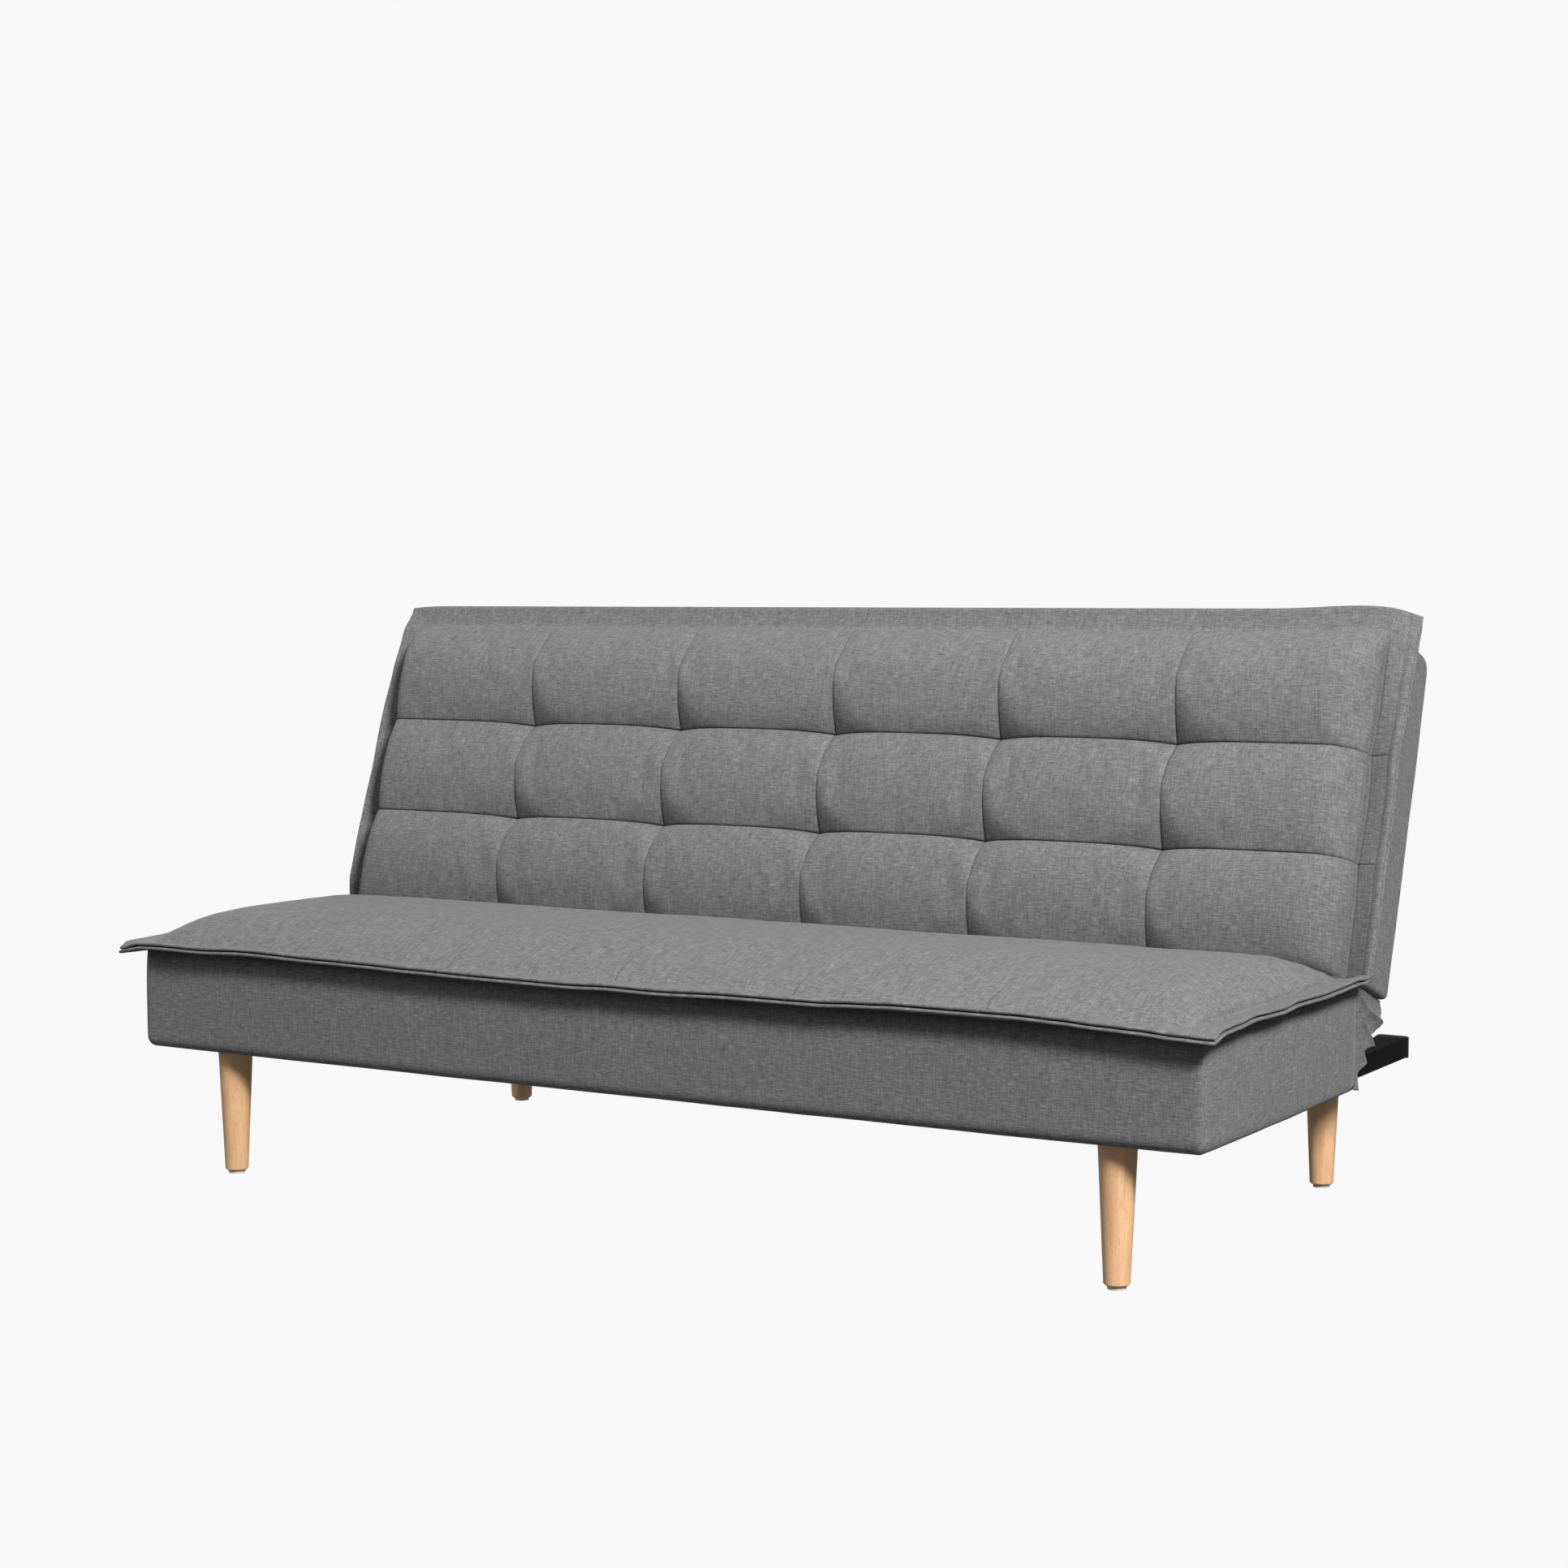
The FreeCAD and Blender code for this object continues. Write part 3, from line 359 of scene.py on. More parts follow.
def sewnLines(stops, cell, nearMm=(0.7, 1.6, 4.0)):
    # grid lines between seams, evenly spaced, with close lines beside each seam so that it reads as sewn
    lines = []
    for low, high in zip(stops, stops[1:]):
        gap = nearMm[-1] * mm
        if high - low < 2.2 * gap:
            lines += [low, high]
            continue
        count = max(1, round((high - low - 2 * gap) / cell))
        lines += [low] + [low + near * mm for near in nearMm[:-1]]
        lines += list(np.linspace(low + gap, high - gap, count + 1))
        lines += [high - near * mm for near in nearMm[:-1]] + [high]
    return np.unique(np.round(lines, 7))


def groove(distance, width=0.75 * mm):
    return np.exp(-((distance / width) ** 2))


puffFabric = {
    "quality": 7, "mass": 0.25, "tension_stiffness": 12, "compression_stiffness": 12, "shear_stiffness": 4,
    "bending_stiffness": 0.4, "vertex_group_mass": "sewn", "pin_stiffness": 4, "use_pressure": True,
    "shrink_min": -0.012,
}
puffFrames = 20


def clothPuff(name, xs, ys, surface, pinned, settings):
    # fills the sheet like a pad: cloth under pressure from below, held where it is sewn down
    bm = bmesh.new()
    bmesh.ops.create_grid(bm, x_segments=len(xs) - 1, y_segments=len(ys) - 1, size=0.5)
    bm.verts.ensure_lookup_table()
    order = [(round((v.co.y + 0.5) * (len(ys) - 1)), round((v.co.x + 0.5) * (len(xs) - 1))) for v in bm.verts]
    for vertex, (row, column) in zip(bm.verts, order):
        vertex.co = surface[row, column]
    mesh = bpy.data.meshes.new(name)
    bm.to_mesh(mesh)
    bm.free()
    sheet = link(name, mesh)
    sewn = sheet.vertex_groups.new(name="sewn")
    for index, (row, column) in enumerate(order):
        if pinned[row, column] > 0:
            sewn.add([index], float(pinned[row, column]), "REPLACE")
    cloth = sheet.modifiers.new("puff", "CLOTH")
    for setting, value in puffFabric.items():
        setattr(cloth.settings, setting, value)
    cloth.settings.uniform_pressure_force = settings["pressure"]
    cloth.settings.effector_weights.gravity = 0
    cloth.collision_settings.use_collision = False
    for step in range(puffFrames):
        bpy.context.scene.frame_set(step + 1)
    puffed = sheet.evaluated_get(bpy.context.evaluated_depsgraph_get())
    moved = np.zeros_like(surface)
    for vertex, (row, column) in zip(puffed.data.vertices, order):
        moved[row, column] = np.array(vertex.co) - surface[row, column]
    bpy.data.objects.remove(sheet)
    bpy.context.scene.frame_set(1)
    reach = np.linalg.norm(moved, axis=2, keepdims=True)
    print(f"{name}: cloth moved up to {reach.max() / mm:.1f} mm")
    return moved * settings["cap"] * np.tanh(reach / settings["cap"]) / np.maximum(reach, 1e-9)


def withWelt(lines, starts, ends):
    # adds grid lines for the welt, which runs just inside the edges at starts and ends
    welt = [start + stitch * mm for start in starts for stitch in lip["stitchMm"]]
    welt += [end - stitch * mm for end in ends for stitch in lip["stitchMm"]]
    return np.unique(np.concatenate([lines, welt]))


def underGrid(edgeX, toeX, low, high, fold):
    # a plain grid with lines where the padding above it ends
    xs = np.unique(np.concatenate([np.linspace(-edgeX, edgeX, 91), [-toeX, toeX]]))
    ys = np.unique(np.concatenate([np.linspace(low, high, 27), [fold]]))
    return np.meshgrid(xs, ys)


def outwardAt(row, column, shape):
    # which way is out, for a point on the edge of the grid
    out = Vector((0, 0, 0))
    out.x = -1 if column == 0 else 1 if column == shape[1] - 1 else 0
    out.y = -1 if row == 0 else 1 if row == shape[0] - 1 else 0
    return out.normalized()


def heightInside(surface, row, column, reach):
    # how high the sheet stands a reach in from its edge
    down = 1 if row == 0 else -1 if row == surface.shape[0] - 1 else 0
    across = 1 if column == 0 else -1 if column == surface.shape[1] - 1 else 0
    edge = surface[row, column]
    while np.linalg.norm(surface[row, column, :2] - edge[:2]) < reach:
        row += down
        column += across
    return surface[row, column, 2]


def sewnSheet(name, surface, threadAndShade, lipSteps, floorZ, place, body, replaced):
    # a grid laid on the surface, with a rolled lip, closed underneath at an even height
    rows, columns = surface.shape[:2]
    bm = bmesh.new()
    bmesh.ops.create_grid(bm, x_segments=columns - 1, y_segments=rows - 1, size=0.5)
    stitch = bm.verts.layers.float.new("stitch")
    foot = bm.verts.layers.float_vector.new("foot")
    inner = bm.verts.layers.float.new("inner")
    reach = -lipSteps[-1][0] * mm
    out = bm.verts.layers.float_vector.new("out")
    cloth = bm.verts.layers.float_vector.new("cloth")
    steps = np.linalg.norm(np.diff(surface, axis=1), axis=2)
    across = np.concatenate([np.zeros((rows, 1)), np.cumsum(steps, axis=1)], axis=1)
    # averaged over the rows and columns, so that the threads stay straight
    across = np.broadcast_to((across - across[:, -1:] / 2).mean(axis=0), across.shape)
    steps = np.linalg.norm(np.diff(surface, axis=0), axis=2)
    along = np.concatenate([np.zeros((1, columns)), np.cumsum(steps, axis=0)], axis=0)
    along = np.broadcast_to(along.mean(axis=1, keepdims=True), along.shape)
    for vertex in bm.verts:
        row = round((vertex.co.y + 0.5) * (rows - 1))
        column = round((vertex.co.x + 0.5) * (columns - 1))
        vertex.co = surface[row, column]
        vertex[stitch] = float(threadAndShade[row, column])
        vertex[foot] = vertex.co
        vertex[cloth] = Vector((across[row, column], along[row, column], 0))
        if row in (0, rows - 1) or column in (0, columns - 1):
            vertex[out] = outwardAt(row, column, surface.shape)
            vertex[inner] = heightInside(surface, row, column, reach)
    rim = [edge for edge in bm.edges if edge.is_boundary]
    xLow, yLow = surface[..., 0].min(), surface[..., 1].min()
    xHigh, yHigh = surface[..., 0].max(), surface[..., 1].max()
    inward = (-lip["seatMm"] - 6, lipSteps[-1][1] + 0.2)
    for outward, down in lipSteps + [inward]:
        grown = bmesh.ops.extrude_edge_only(bm, edges=rim)["geom"]
        rim = [item for item in grown if isinstance(item, bmesh.types.BMEdge) and item.is_boundary]
        for vertex in [item for item in grown if isinstance(item, bmesh.types.BMVert)]:
            vertex.co = vertex[foot] + vertex[out] * max(outward, 0) * mm - Vector((0, 0, down * mm))
            if outward < 0:
                vertex.co.z += (vertex[inner] - vertex[foot].z) * min(1, -outward * mm / reach)
                vertex.co.x = min(max(vertex.co.x, xLow - outward * mm), xHigh + outward * mm)
                vertex.co.y = min(max(vertex.co.y, yLow - outward * mm), yHigh + outward * mm)
            vertex[stitch] = 0.0
            if (outward, down) == inward:
                vertex.co.z = floorZ
    last = list({vertex for edge in rim for vertex in edge.verts})
    bmesh.ops.remove_doubles(bm, verts=last, dist=1e-5)
    bmesh.ops.holes_fill(bm, edges=[edge for edge in bm.edges if edge.is_boundary], sides=0)
    weave = bm.loops.layers.uv.new("weave")
    for face in bm.faces:
        for loop in face.loops:
            spot = loop.vert[cloth] + (loop.vert.co - loop.vert[foot])
            loop[weave].uv = (spot.x, spot.y - (loop.vert.co.z - loop.vert[foot].z))
    bmesh.ops.recalc_face_normals(bm, faces=bm.faces)
    bm.verts.layers.float.remove(bm.verts.layers.float["inner"])
    guides = bm.verts.layers.float_vector
    for guide in ("foot", "out", "cloth"):
        guides.remove(guides[guide])
    return finishPiece(bm, name, place, body, replaced)


def finishPiece(bm, name, place, body, replaced, slot="grey_fabric"):
    bm.transform(place)
    for face in bm.faces:
        face.smooth = True
    mesh = bpy.data.meshes.new(name)
    bm.to_mesh(mesh)
    bm.free()
    piece = link(name, mesh)
    mesh.materials.append(finishes[slot])
    if body:
        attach(piece, body)
    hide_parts(*replaced)
    return piece


def topLip():
    # rolls over the edge and tucks back in above the slit
    tail = lip["topMm"][-1][1]
    return lip["topMm"] + [(-lip["tuckMm"] / 3, tail + 0.2), (-lip["tuckMm"], tail + 0.2)]


def underLip():
    # rolls under the edge and runs back to the box
    tail = lip["underMm"][-1][1]
    return lip["underMm"] + [(-lip["seatMm"] / 6, tail + 0.1), (-lip["seatMm"], tail + 0.1)]


def roll(distance, reach, power, root):
    # how full the padding is at a distance in from its sewn edge
    return (1 - (1 - np.clip(distance / reach, 0, 1)) ** power) ** root


def seatSurface(xs, ys, low, high, level):
    # heights of the seat's top sheet, without seams: x, y are places on the sofa
    plan = seatCushion
    x, y = np.meshgrid(xs, ys)
    toeX = high[0] - plan["flange"]
    front, rear = low[1] + plan["frontToe"], high[1] - 4 * mm
    left, right = (roll(toeX - np.abs(x), *shape) for shape in plan["sideRoll"])
    side = left + (right - left) * ease(x / (400 * mm) + 0.5)
    length = np.minimum(roll(y - front, *plan["frontRoll"]), roll(rear - y, *plan["rearRoll"]))
    full = 1 - ((1 - side) ** 3 + (1 - length) ** 3) ** (1 / 3)
    return x, y, level + plan["crown"] * np.clip(full, 0, 1)


def flangeWave(x, y, low, high, plan):
    # the seat flange's droop along the front and ripple along the sides, nothing at the padding's edge
    fromFront = (y - low[1]) / mm
    front = curveThrough(plan["frontEdge"], x / mm) * ease(1 - fromFront / 40) * mm
    sideways = ease((np.abs(x) - (high[0] - plan["flange"])) / plan["flange"])
    side = curveThrough(plan["sideEdge"], fromFront) * sideways * mm
    corner = ease(1 - fromFront / 40)
    return front * (1 - sideways * corner) + side


def makeSeatCushion():
    plan = seatCushion
    low, high = flatBox("seat_cushion")
    underLow = flatBox("seat_cushion_underside")[0]
    level = flatBox("seat_cushion_underside")[1][2] + 6 * mm
    toeX = high[0] - plan["flange"]
    margin = 3 * mm
    edgeX, front, rear = high[0] - margin, low[1] + margin, high[1] - margin
    seams = np.linspace(-toeX, toeX, plan["columns"] + 1)
    xs = withWelt(sewnLines([-edgeX] + list(seams) + [edgeX], plan["cell"]), [-edgeX], [edgeX])
    toeY = low[1] + plan["flange"]
    ys = withWelt(sewnLines([front, toeY, rear], plan["cell"]), [front], [])
    coarseX, coarseY = np.linspace(-toeX, toeX, 121), np.linspace(toeY, rear, 37)
    x, y, z = seatSurface(coarseX, coarseY, low, high, level)
    start = np.stack([x, y, z], axis=2)
    held = np.zeros(x.shape)
    held[[0, -1], :] = 1
    held[:, [0, -1]] = 1
    puff = clothPuff("seatPuff", coarseX, coarseY, start, held, plan)
    x, y, z = seatSurface(xs, ys, low, high, level)
    inside = (np.abs(x) <= toeX) & (y >= toeY)
    lifted = resample(resample(puff, coarseY, ys, 0), coarseX, xs, 1)
    z = z + np.where(inside, lifted[..., 2], 0) + flangeWave(x, y, low, high, plan)
    x = x + np.where(inside, lifted[..., 0], 0)
    y = y + np.where(inside, lifted[..., 1], 0)
    gridX, gridY = np.meshgrid(xs, ys)
    fade = ease(1 - (gridY - toeY) / plan["seamReach"])
    threadAndShade = np.zeros(z.shape)
    for seam in seams[1:-1]:
        line = groove(gridX - seam)
        z = z - plan["seam"] * line * fade
        # dark thread in the seams, partly painted shade of the groove
        threadAndShade = np.maximum(threadAndShade, line * fade * 0.6)
    rim = np.minimum(edgeX - np.abs(gridX), gridY - front)
    z = z - 0.8 * mm * ease(1 - rim / (6 * mm))
    toe = np.minimum(toeX - np.abs(gridX), gridY - toeY)
    z = z + plan["crinkle"][0] * ruffle(gridX, gridY, plan["crinkle"][1], 2.0) * ease(toe / (30 * mm))
    z = z + plan["drift"][0] * ruffle(gridX, gridY, plan["drift"][1], 6.0) * ease(toe / (60 * mm))
    surface = np.stack([x, y, z], axis=2)
    top = sewnSheet("seatCushionTop", surface, threadAndShade, topLip(), level - 5 * mm, still, "frame",
                    ["seat_cushion"])
    x, y = underGrid(edgeX, toeX, front, rear, toeY)
    slit = 0.5 * (level + underLow[2]) - lip["slitMm"] * mm
    z = slit + flangeWave(x, y, low, high, plan)
    under = sewnSheet("seatCushionUnder", np.stack([x, y, z], axis=2), np.zeros(x.shape), underLip(),
                      slit - 6 * mm, still, "frame", ["seat_cushion_underside"])
    print("seat cushion made")


def backPlaces(low, high):
    plan = backCushion
    crease = low[1] - 8 * mm  # where the two flanges' planes meet
    toeX, top = high[0] - plan["flange"], high[1] - plan["flange"]
    rows = [crease + row for row in plan["rowsFromCrease"]] + [top]
    return crease, toeX, rows


def backSurface(xs, ys, low, high, level):
    # heights of the tufted sheet, without seams, over the flange's face
    plan = backCushion
    toeX, rows = backPlaces(low, high)[1:]
    x, y = np.meshgrid(xs, ys)
    pitch = 2 * toeX / plan["columns"]
    column = np.clip(np.floor((x + toeX) / pitch), 0, plan["columns"] - 1)
    a = 2 * (x + toeX - column * pitch) / pitch - 1
    outer = ((column == 0) & (a < 0)) | ((column == plan["columns"] - 1) & (a > 0))
    row = np.clip(np.searchsorted(rows, y, side="right") - 1, 0, len(rows) - 2)
    lows, highs = np.array(rows)[row], np.array(rows)[row + 1]
    b = np.clip(2 * (y - lows) / (highs - lows) - 1, -1, 1)
    b = b + plan["sag"] * (1 - b * b)
    topmost = (row == len(rows) - 2) & (b > 0)
    nearX = np.where(outer, 0, np.abs(a) ** plan["squareness"][0])
    nearY = np.where(topmost, 0, np.abs(b) ** plan["squareness"][1])
    over = nearX + nearY - 1
    corner, fall, soften = plan["funnel"]
    funnel = corner * nearX * nearY + fall * (over + np.sqrt(over**2 + soften))
    height = (plan["crest"] - (plan["crest"] - plan["knot"]) * np.clip(funnel, 0, 1)
              - (plan["crest"] - plan["rowCrest"]) * nearY * (1 - nearX))
    face = 6 * mm
    reach = np.where(x < 0, *plan["sideRoll"])
    edge = roll(toeX - np.abs(x), reach, 2, 0.5) * roll(rows[-1] + 4 * mm - y, *plan["topRoll"])
    edge = edge * roll(y - low[1] + plan["bottomReach"], *plan["bottomRoll"])
    return x, y, level + face + (height - face) * np.clip(edge, 0, 1)


def backLean(x, y, high, plan, crease):
    # the side flanges lean forward low down and back near the top
    up = (y - crease) / mm
    sideways = ease((np.abs(x) - (high[0] - plan["flange"])) / plan["flange"])
    right = curveThrough(plan["rightLean"], np.clip(up, 0, 545))
    left = curveThrough(plan["leftLean"], np.clip(up, 0, 545))
    over = ease((y - (high[1] - plan["topFold"])) / plan["topFold"])
    return np.where(x > 0, right, left) * mm * sideways - plan["topDroop"] * over


def cornerPull(x, y, high, plan):
    # the top corners are drawn down in a curve
    over = ease((y - (high[1] - plan["cornerHeight"])) / plan["cornerHeight"])
    out = np.clip((np.abs(x) - (high[0] - plan["cornerReach"])) / plan["cornerReach"], 0, 1)
    swell = np.exp(-(((np.abs(x) - (high[0] - plan["cornerReach"])) / (80 * mm)) ** 2))
    leftShape, rightShape = (rise * swell - drop * out**2.5
                             for rise, drop in zip(plan["topSwell"], plan["cornerDrop"]))
    return over * np.where(x > 0, rightShape, leftShape)


def rowPull(x, y, high, plan, rows):
    # the sides are drawn in at each row of seams and swell between them
    near = np.max([np.exp(-((y - row) / plan["pullLength"]) ** 2) for row in rows[1:-1]], axis=0)
    out = ease((np.abs(x) - (high[0] - plan["pullEdge"])) / plan["pullWidth"])
    fade = 1 - 0.55 * ease((np.abs(x) - (high[0] - plan["flange"])) / plan["flange"])
    spread = plan["leftSpread"] * ease((-x - (high[0] - 260 * mm)) / (220 * mm))
    return -np.sign(x) * plan["rowPull"] * (near - 0.25) * out * fade - spread


def makeBackCushion():
    plan = backCushion
    low, high = flatBox("back_cushion", swing)
    level = flatBox("back_cushion_underside", swing)[1][2]
    crease, toeX, rows = backPlaces(low, high)
    margin = 3 * mm
    edgeX, bottom, top = high[0] - margin, low[1] + margin - plan["bottomReach"], high[1] + 1 * mm
    columns = np.linspace(-toeX, toeX, plan["columns"] + 1)
    stitchAt = [value * mm for value in lip["stitchMm"]]
    xs = withWelt(sewnLines([-edgeX] + list(columns) + [edgeX], plan["cell"]), [-edgeX], [edgeX])
    ys = withWelt(sewnLines([bottom] + rows[1:] + [top], plan["cell"]), [], [top])
    ys = np.unique(np.concatenate([ys, [bottom + 2 * mm, bottom + 6 * mm]]))
    coarseX, coarseY = np.linspace(-toeX, toeX, 145), np.linspace(bottom, rows[-1], 49)
    x, y, z = backSurface(coarseX, coarseY, low, high, level)
    start = np.stack([x, y, z], axis=2)
    held = np.zeros(x.shape)
    pitchX, pitchY = coarseX[1] - coarseX[0], coarseY[1] - coarseY[0]
    nearX = np.min(np.abs(coarseX[:, None] - columns[None, :]), axis=1) < 0.5 * pitchX
    nearY = np.min(np.abs(coarseY[:, None] - np.array(rows)[None, :]), axis=1) < 0.5 * pitchY
    held[nearY, :] = 0.6
    held[:, nearX] = 0.08
    held[np.ix_(nearY, nearX)] = 1
    held[[0, -1], :] = 1
    held[:, [0, -1]] = 1
    puff = clothPuff("backPuff", coarseX, coarseY, start, held, plan)
    x, y, z = backSurface(xs, ys, low, high, level)
    gridX, gridY = np.meshgrid(xs, ys)
    inside = (np.abs(gridX) <= toeX) & (gridY <= rows[-1])
    lifted = resample(resample(puff, coarseY, ys, 0), coarseX, xs, 1)
    lifted = np.where(inside[..., None], lifted, 0)
    x, y, z = x + lifted[..., 0], y + lifted[..., 1], z + lifted[..., 2]
    y = y + cornerPull(gridX, gridY, high, plan)
    x = x + rowPull(gridX, gridY, high, plan, rows)
    z = z + backLean(gridX, gridY, high, plan, crease)
    threadAndShade = np.zeros(z.shape)
    over = ease((gridY - rows[-1]) / (4 * mm))  # past the padding, on the top flange
    for seam in columns[1:-1]:
        line = groove(gridX - seam)
        knots = np.max([np.exp(-np.abs(gridY - row) / (30 * mm)) for row in rows[1:-1]], axis=0)
        z = z - (plan["seamMm"][0] + plan["seamMm"][1] * knots * (1 - over)) * mm * line
        # dark thread in the upright seam, partly painted shade of its groove, with more painted shade at the knots
        threadAndShade = np.maximum(threadAndShade, line * (0.38 + 0.4 * knots) * (1 - 0.45 * over))
        z = z - plan["gatherMm"][0] * mm * np.exp(-np.abs(gridX - seam) / (9 * mm)) * (1 - over) * (
            0.5 + 0.5 * ruffle(gridX, gridY, 13 * mm, seam * 7))
    aside = ease((np.abs(gridX) - toeX) / (4 * mm))
    untilWelt = ease((edgeX - np.abs(gridX) - stitchAt[1]) / (2 * mm))
    for row in rows[1:-1]:
        line = groove(gridY - row)
        knots = np.max([np.exp(-np.abs(gridX - seam) / (24 * mm)) for seam in columns[1:-1]], axis=0)
        z = z - (plan["rowMm"][0] + plan["rowMm"][1] * knots) * mm * line * (1 - 0.6 * aside) * untilWelt
        # dark thread in the row seam, partly painted shade of its groove, with more painted shade at the knots
        threadAndShade = np.maximum(threadAndShade, line * (0.72 + 0.28 * knots) * untilWelt)
        z = z - plan["gatherMm"][1] * mm * np.exp(-np.abs(gridY - row) / (10 * mm)) * (1 - aside) * (
            0.5 + 0.5 * ruffle(gridX, gridY, 12 * mm, row * 9))
    toe = np.minimum(toeX - np.abs(gridX), rows[-1] - gridY)
    beside = groove(toeX - np.abs(gridX), 1.5 * mm) * ease((rows[-1] - gridY) / (30 * mm))
    z = z - 1.6 * mm * beside
    # painted shade in the crease where the padding meets the side flange
    threadAndShade = np.maximum(threadAndShade, 0.22 * beside)
    rim = np.minimum(edgeX - np.abs(gridX), top - gridY)
    z = z - plan["weltMm"] * mm * groove(edgeX - np.abs(gridX) - stitchAt[1], 1.2 * mm)
    # dark thread along the welt, partly painted shade of its groove
    threadAndShade = np.maximum(threadAndShade, 0.2 * groove(edgeX - np.abs(gridX) - stitchAt[1], 1.0 * mm))
    z = z + plan["edgeRollMm"] * mm * ease(rim / (3 * mm)) * ease((stitchAt[0] - rim) / (4 * mm))
    z = z + plan["crinkle"][0] * ruffle(gridX, gridY, plan["crinkle"][1], 5.0) * ease(toe / (25 * mm))
    # painted shade, darkest at the bottom edge by the crease and fading out up the back
    threadAndShade = np.maximum(threadAndShade, plan["creaseShadeShare"] * ease(1 - (gridY - bottom) / plan["creaseShadeReach"]))
    surface = np.stack([x, y, z], axis=2)
    sheet = sewnSheet("backCushionTop", surface, threadAndShade, topLip(), level + 1 * mm, swing, "back",
                      ["back_cushion"])
    x, y = underGrid(edgeX, toeX, bottom, top, rows[-1])
    z = level - lip["slitMm"] * mm + backLean(x, y, high, plan, crease)
    drawn = x + rowPull(x, y, high, plan, rows)
    y = y + cornerPull(x, y, high, plan)
    x = drawn
    under = sewnSheet("backCushionUnder", np.stack([x, y, z], axis=2), np.zeros(x.shape), underLip(),
                      level - 6 * mm, swing, "back", ["back_cushion_underside"])
    print("back cushion made")


boxCover = {"cell": 22 * mm, "cornerRound": 14 * mm, "bottomRound": 15 * mm, "backRound": 26 * mm,
            "edgeRound": 9 * mm, "bulge": 4.0 * mm, "backBulge": 1.5 * mm, "tuck": 24 * mm,
            "thickness": 2.5 * mm, "backDrop": 8 * mm,
            "topReach": 4 * mm,  # tucked up behind the cushion's lip
            "slack": 1.3 * mm, "slackWide": 110 * mm, "slackFine": 45 * mm}


def cutAcross(bm, place, normal):
    bmesh.ops.bisect_plane(bm, geom=bm.verts[:] + bm.edges[:] + bm.faces[:], dist=1e-6, plane_co=place,
                           plane_no=normal)


def cutEvery(bm, low, high, cell):
    # divides every face with planes a cell apart
    for axis, start, end in zip("xyz", low, high):
        normal = Vector([float(axis == other) for other in "xyz"])
        count = max(2, round((end - start) / cell))
        for index in range(1, count):
            cutAcross(bm, normal * (start + (end - start) * index / count), normal)


def boxWeave(bm):
    # lays the weave on each face from the side that it faces most
    weave = bm.loops.layers.uv.new("weave")
    for face in bm.faces:
        facing = max(range(3), key=lambda axis: abs(face.normal[axis]))
        first, second = {0: (1, 2), 1: (0, 2), 2: (0, 1)}[facing]
        for loop in face.loops:
            loop[weave].uv = (loop.vert.co[first] + 0.37 * facing, loop.vert.co[second])


def addSolidify(piece, thickness, offset=-1.0):
    solid = piece.modifiers.new("wall", "SOLIDIFY")
    solid.thickness = thickness
    solid.offset = offset
    return solid


def faceOut(bm, low, high):
    # an open cover has no inside of its own, so its faces are turned away from the middle of the box
    bmesh.ops.recalc_face_normals(bm, faces=bm.faces)
    middle = Vector((0, 0.5 * (low[1] + high[1]), 0.5 * (low[2] + high[2])))
    outside = sum((face.calc_center_median() - middle).dot(face.normal) * face.calc_area()
                  for face in bm.faces)
    if outside < 0:
        bmesh.ops.reverse_faces(bm, faces=bm.faces)


def relaxFabric(bm, low, high, bulge, seed):
    # the cover stands proud between its edges, with slack that drifts over it
    slack, wide, fine = boxCover["slack"], boxCover["slackWide"], boxCover["slackFine"]
    for vertex in bm.verts:
        share = [(vertex.co[axis] - low[axis]) / (high[axis] - low[axis]) for axis in range(3)]
        belly = [4 * s * (1 - s) for s in share]
        normal = vertex.normal
        full = 1.0
        for axis in range(3):
            full *= 1 - (1 - max(belly[axis], 0) ** 0.5) * (1 - abs(normal[axis]))
        drift = noise.noise(vertex.co / wide + Vector((seed, 0, 0)))
        drift += 0.5 * noise.noise(vertex.co / fine + Vector((0, seed, 0)))
        vertex.co += normal * (bulge * full + slack * drift * full)


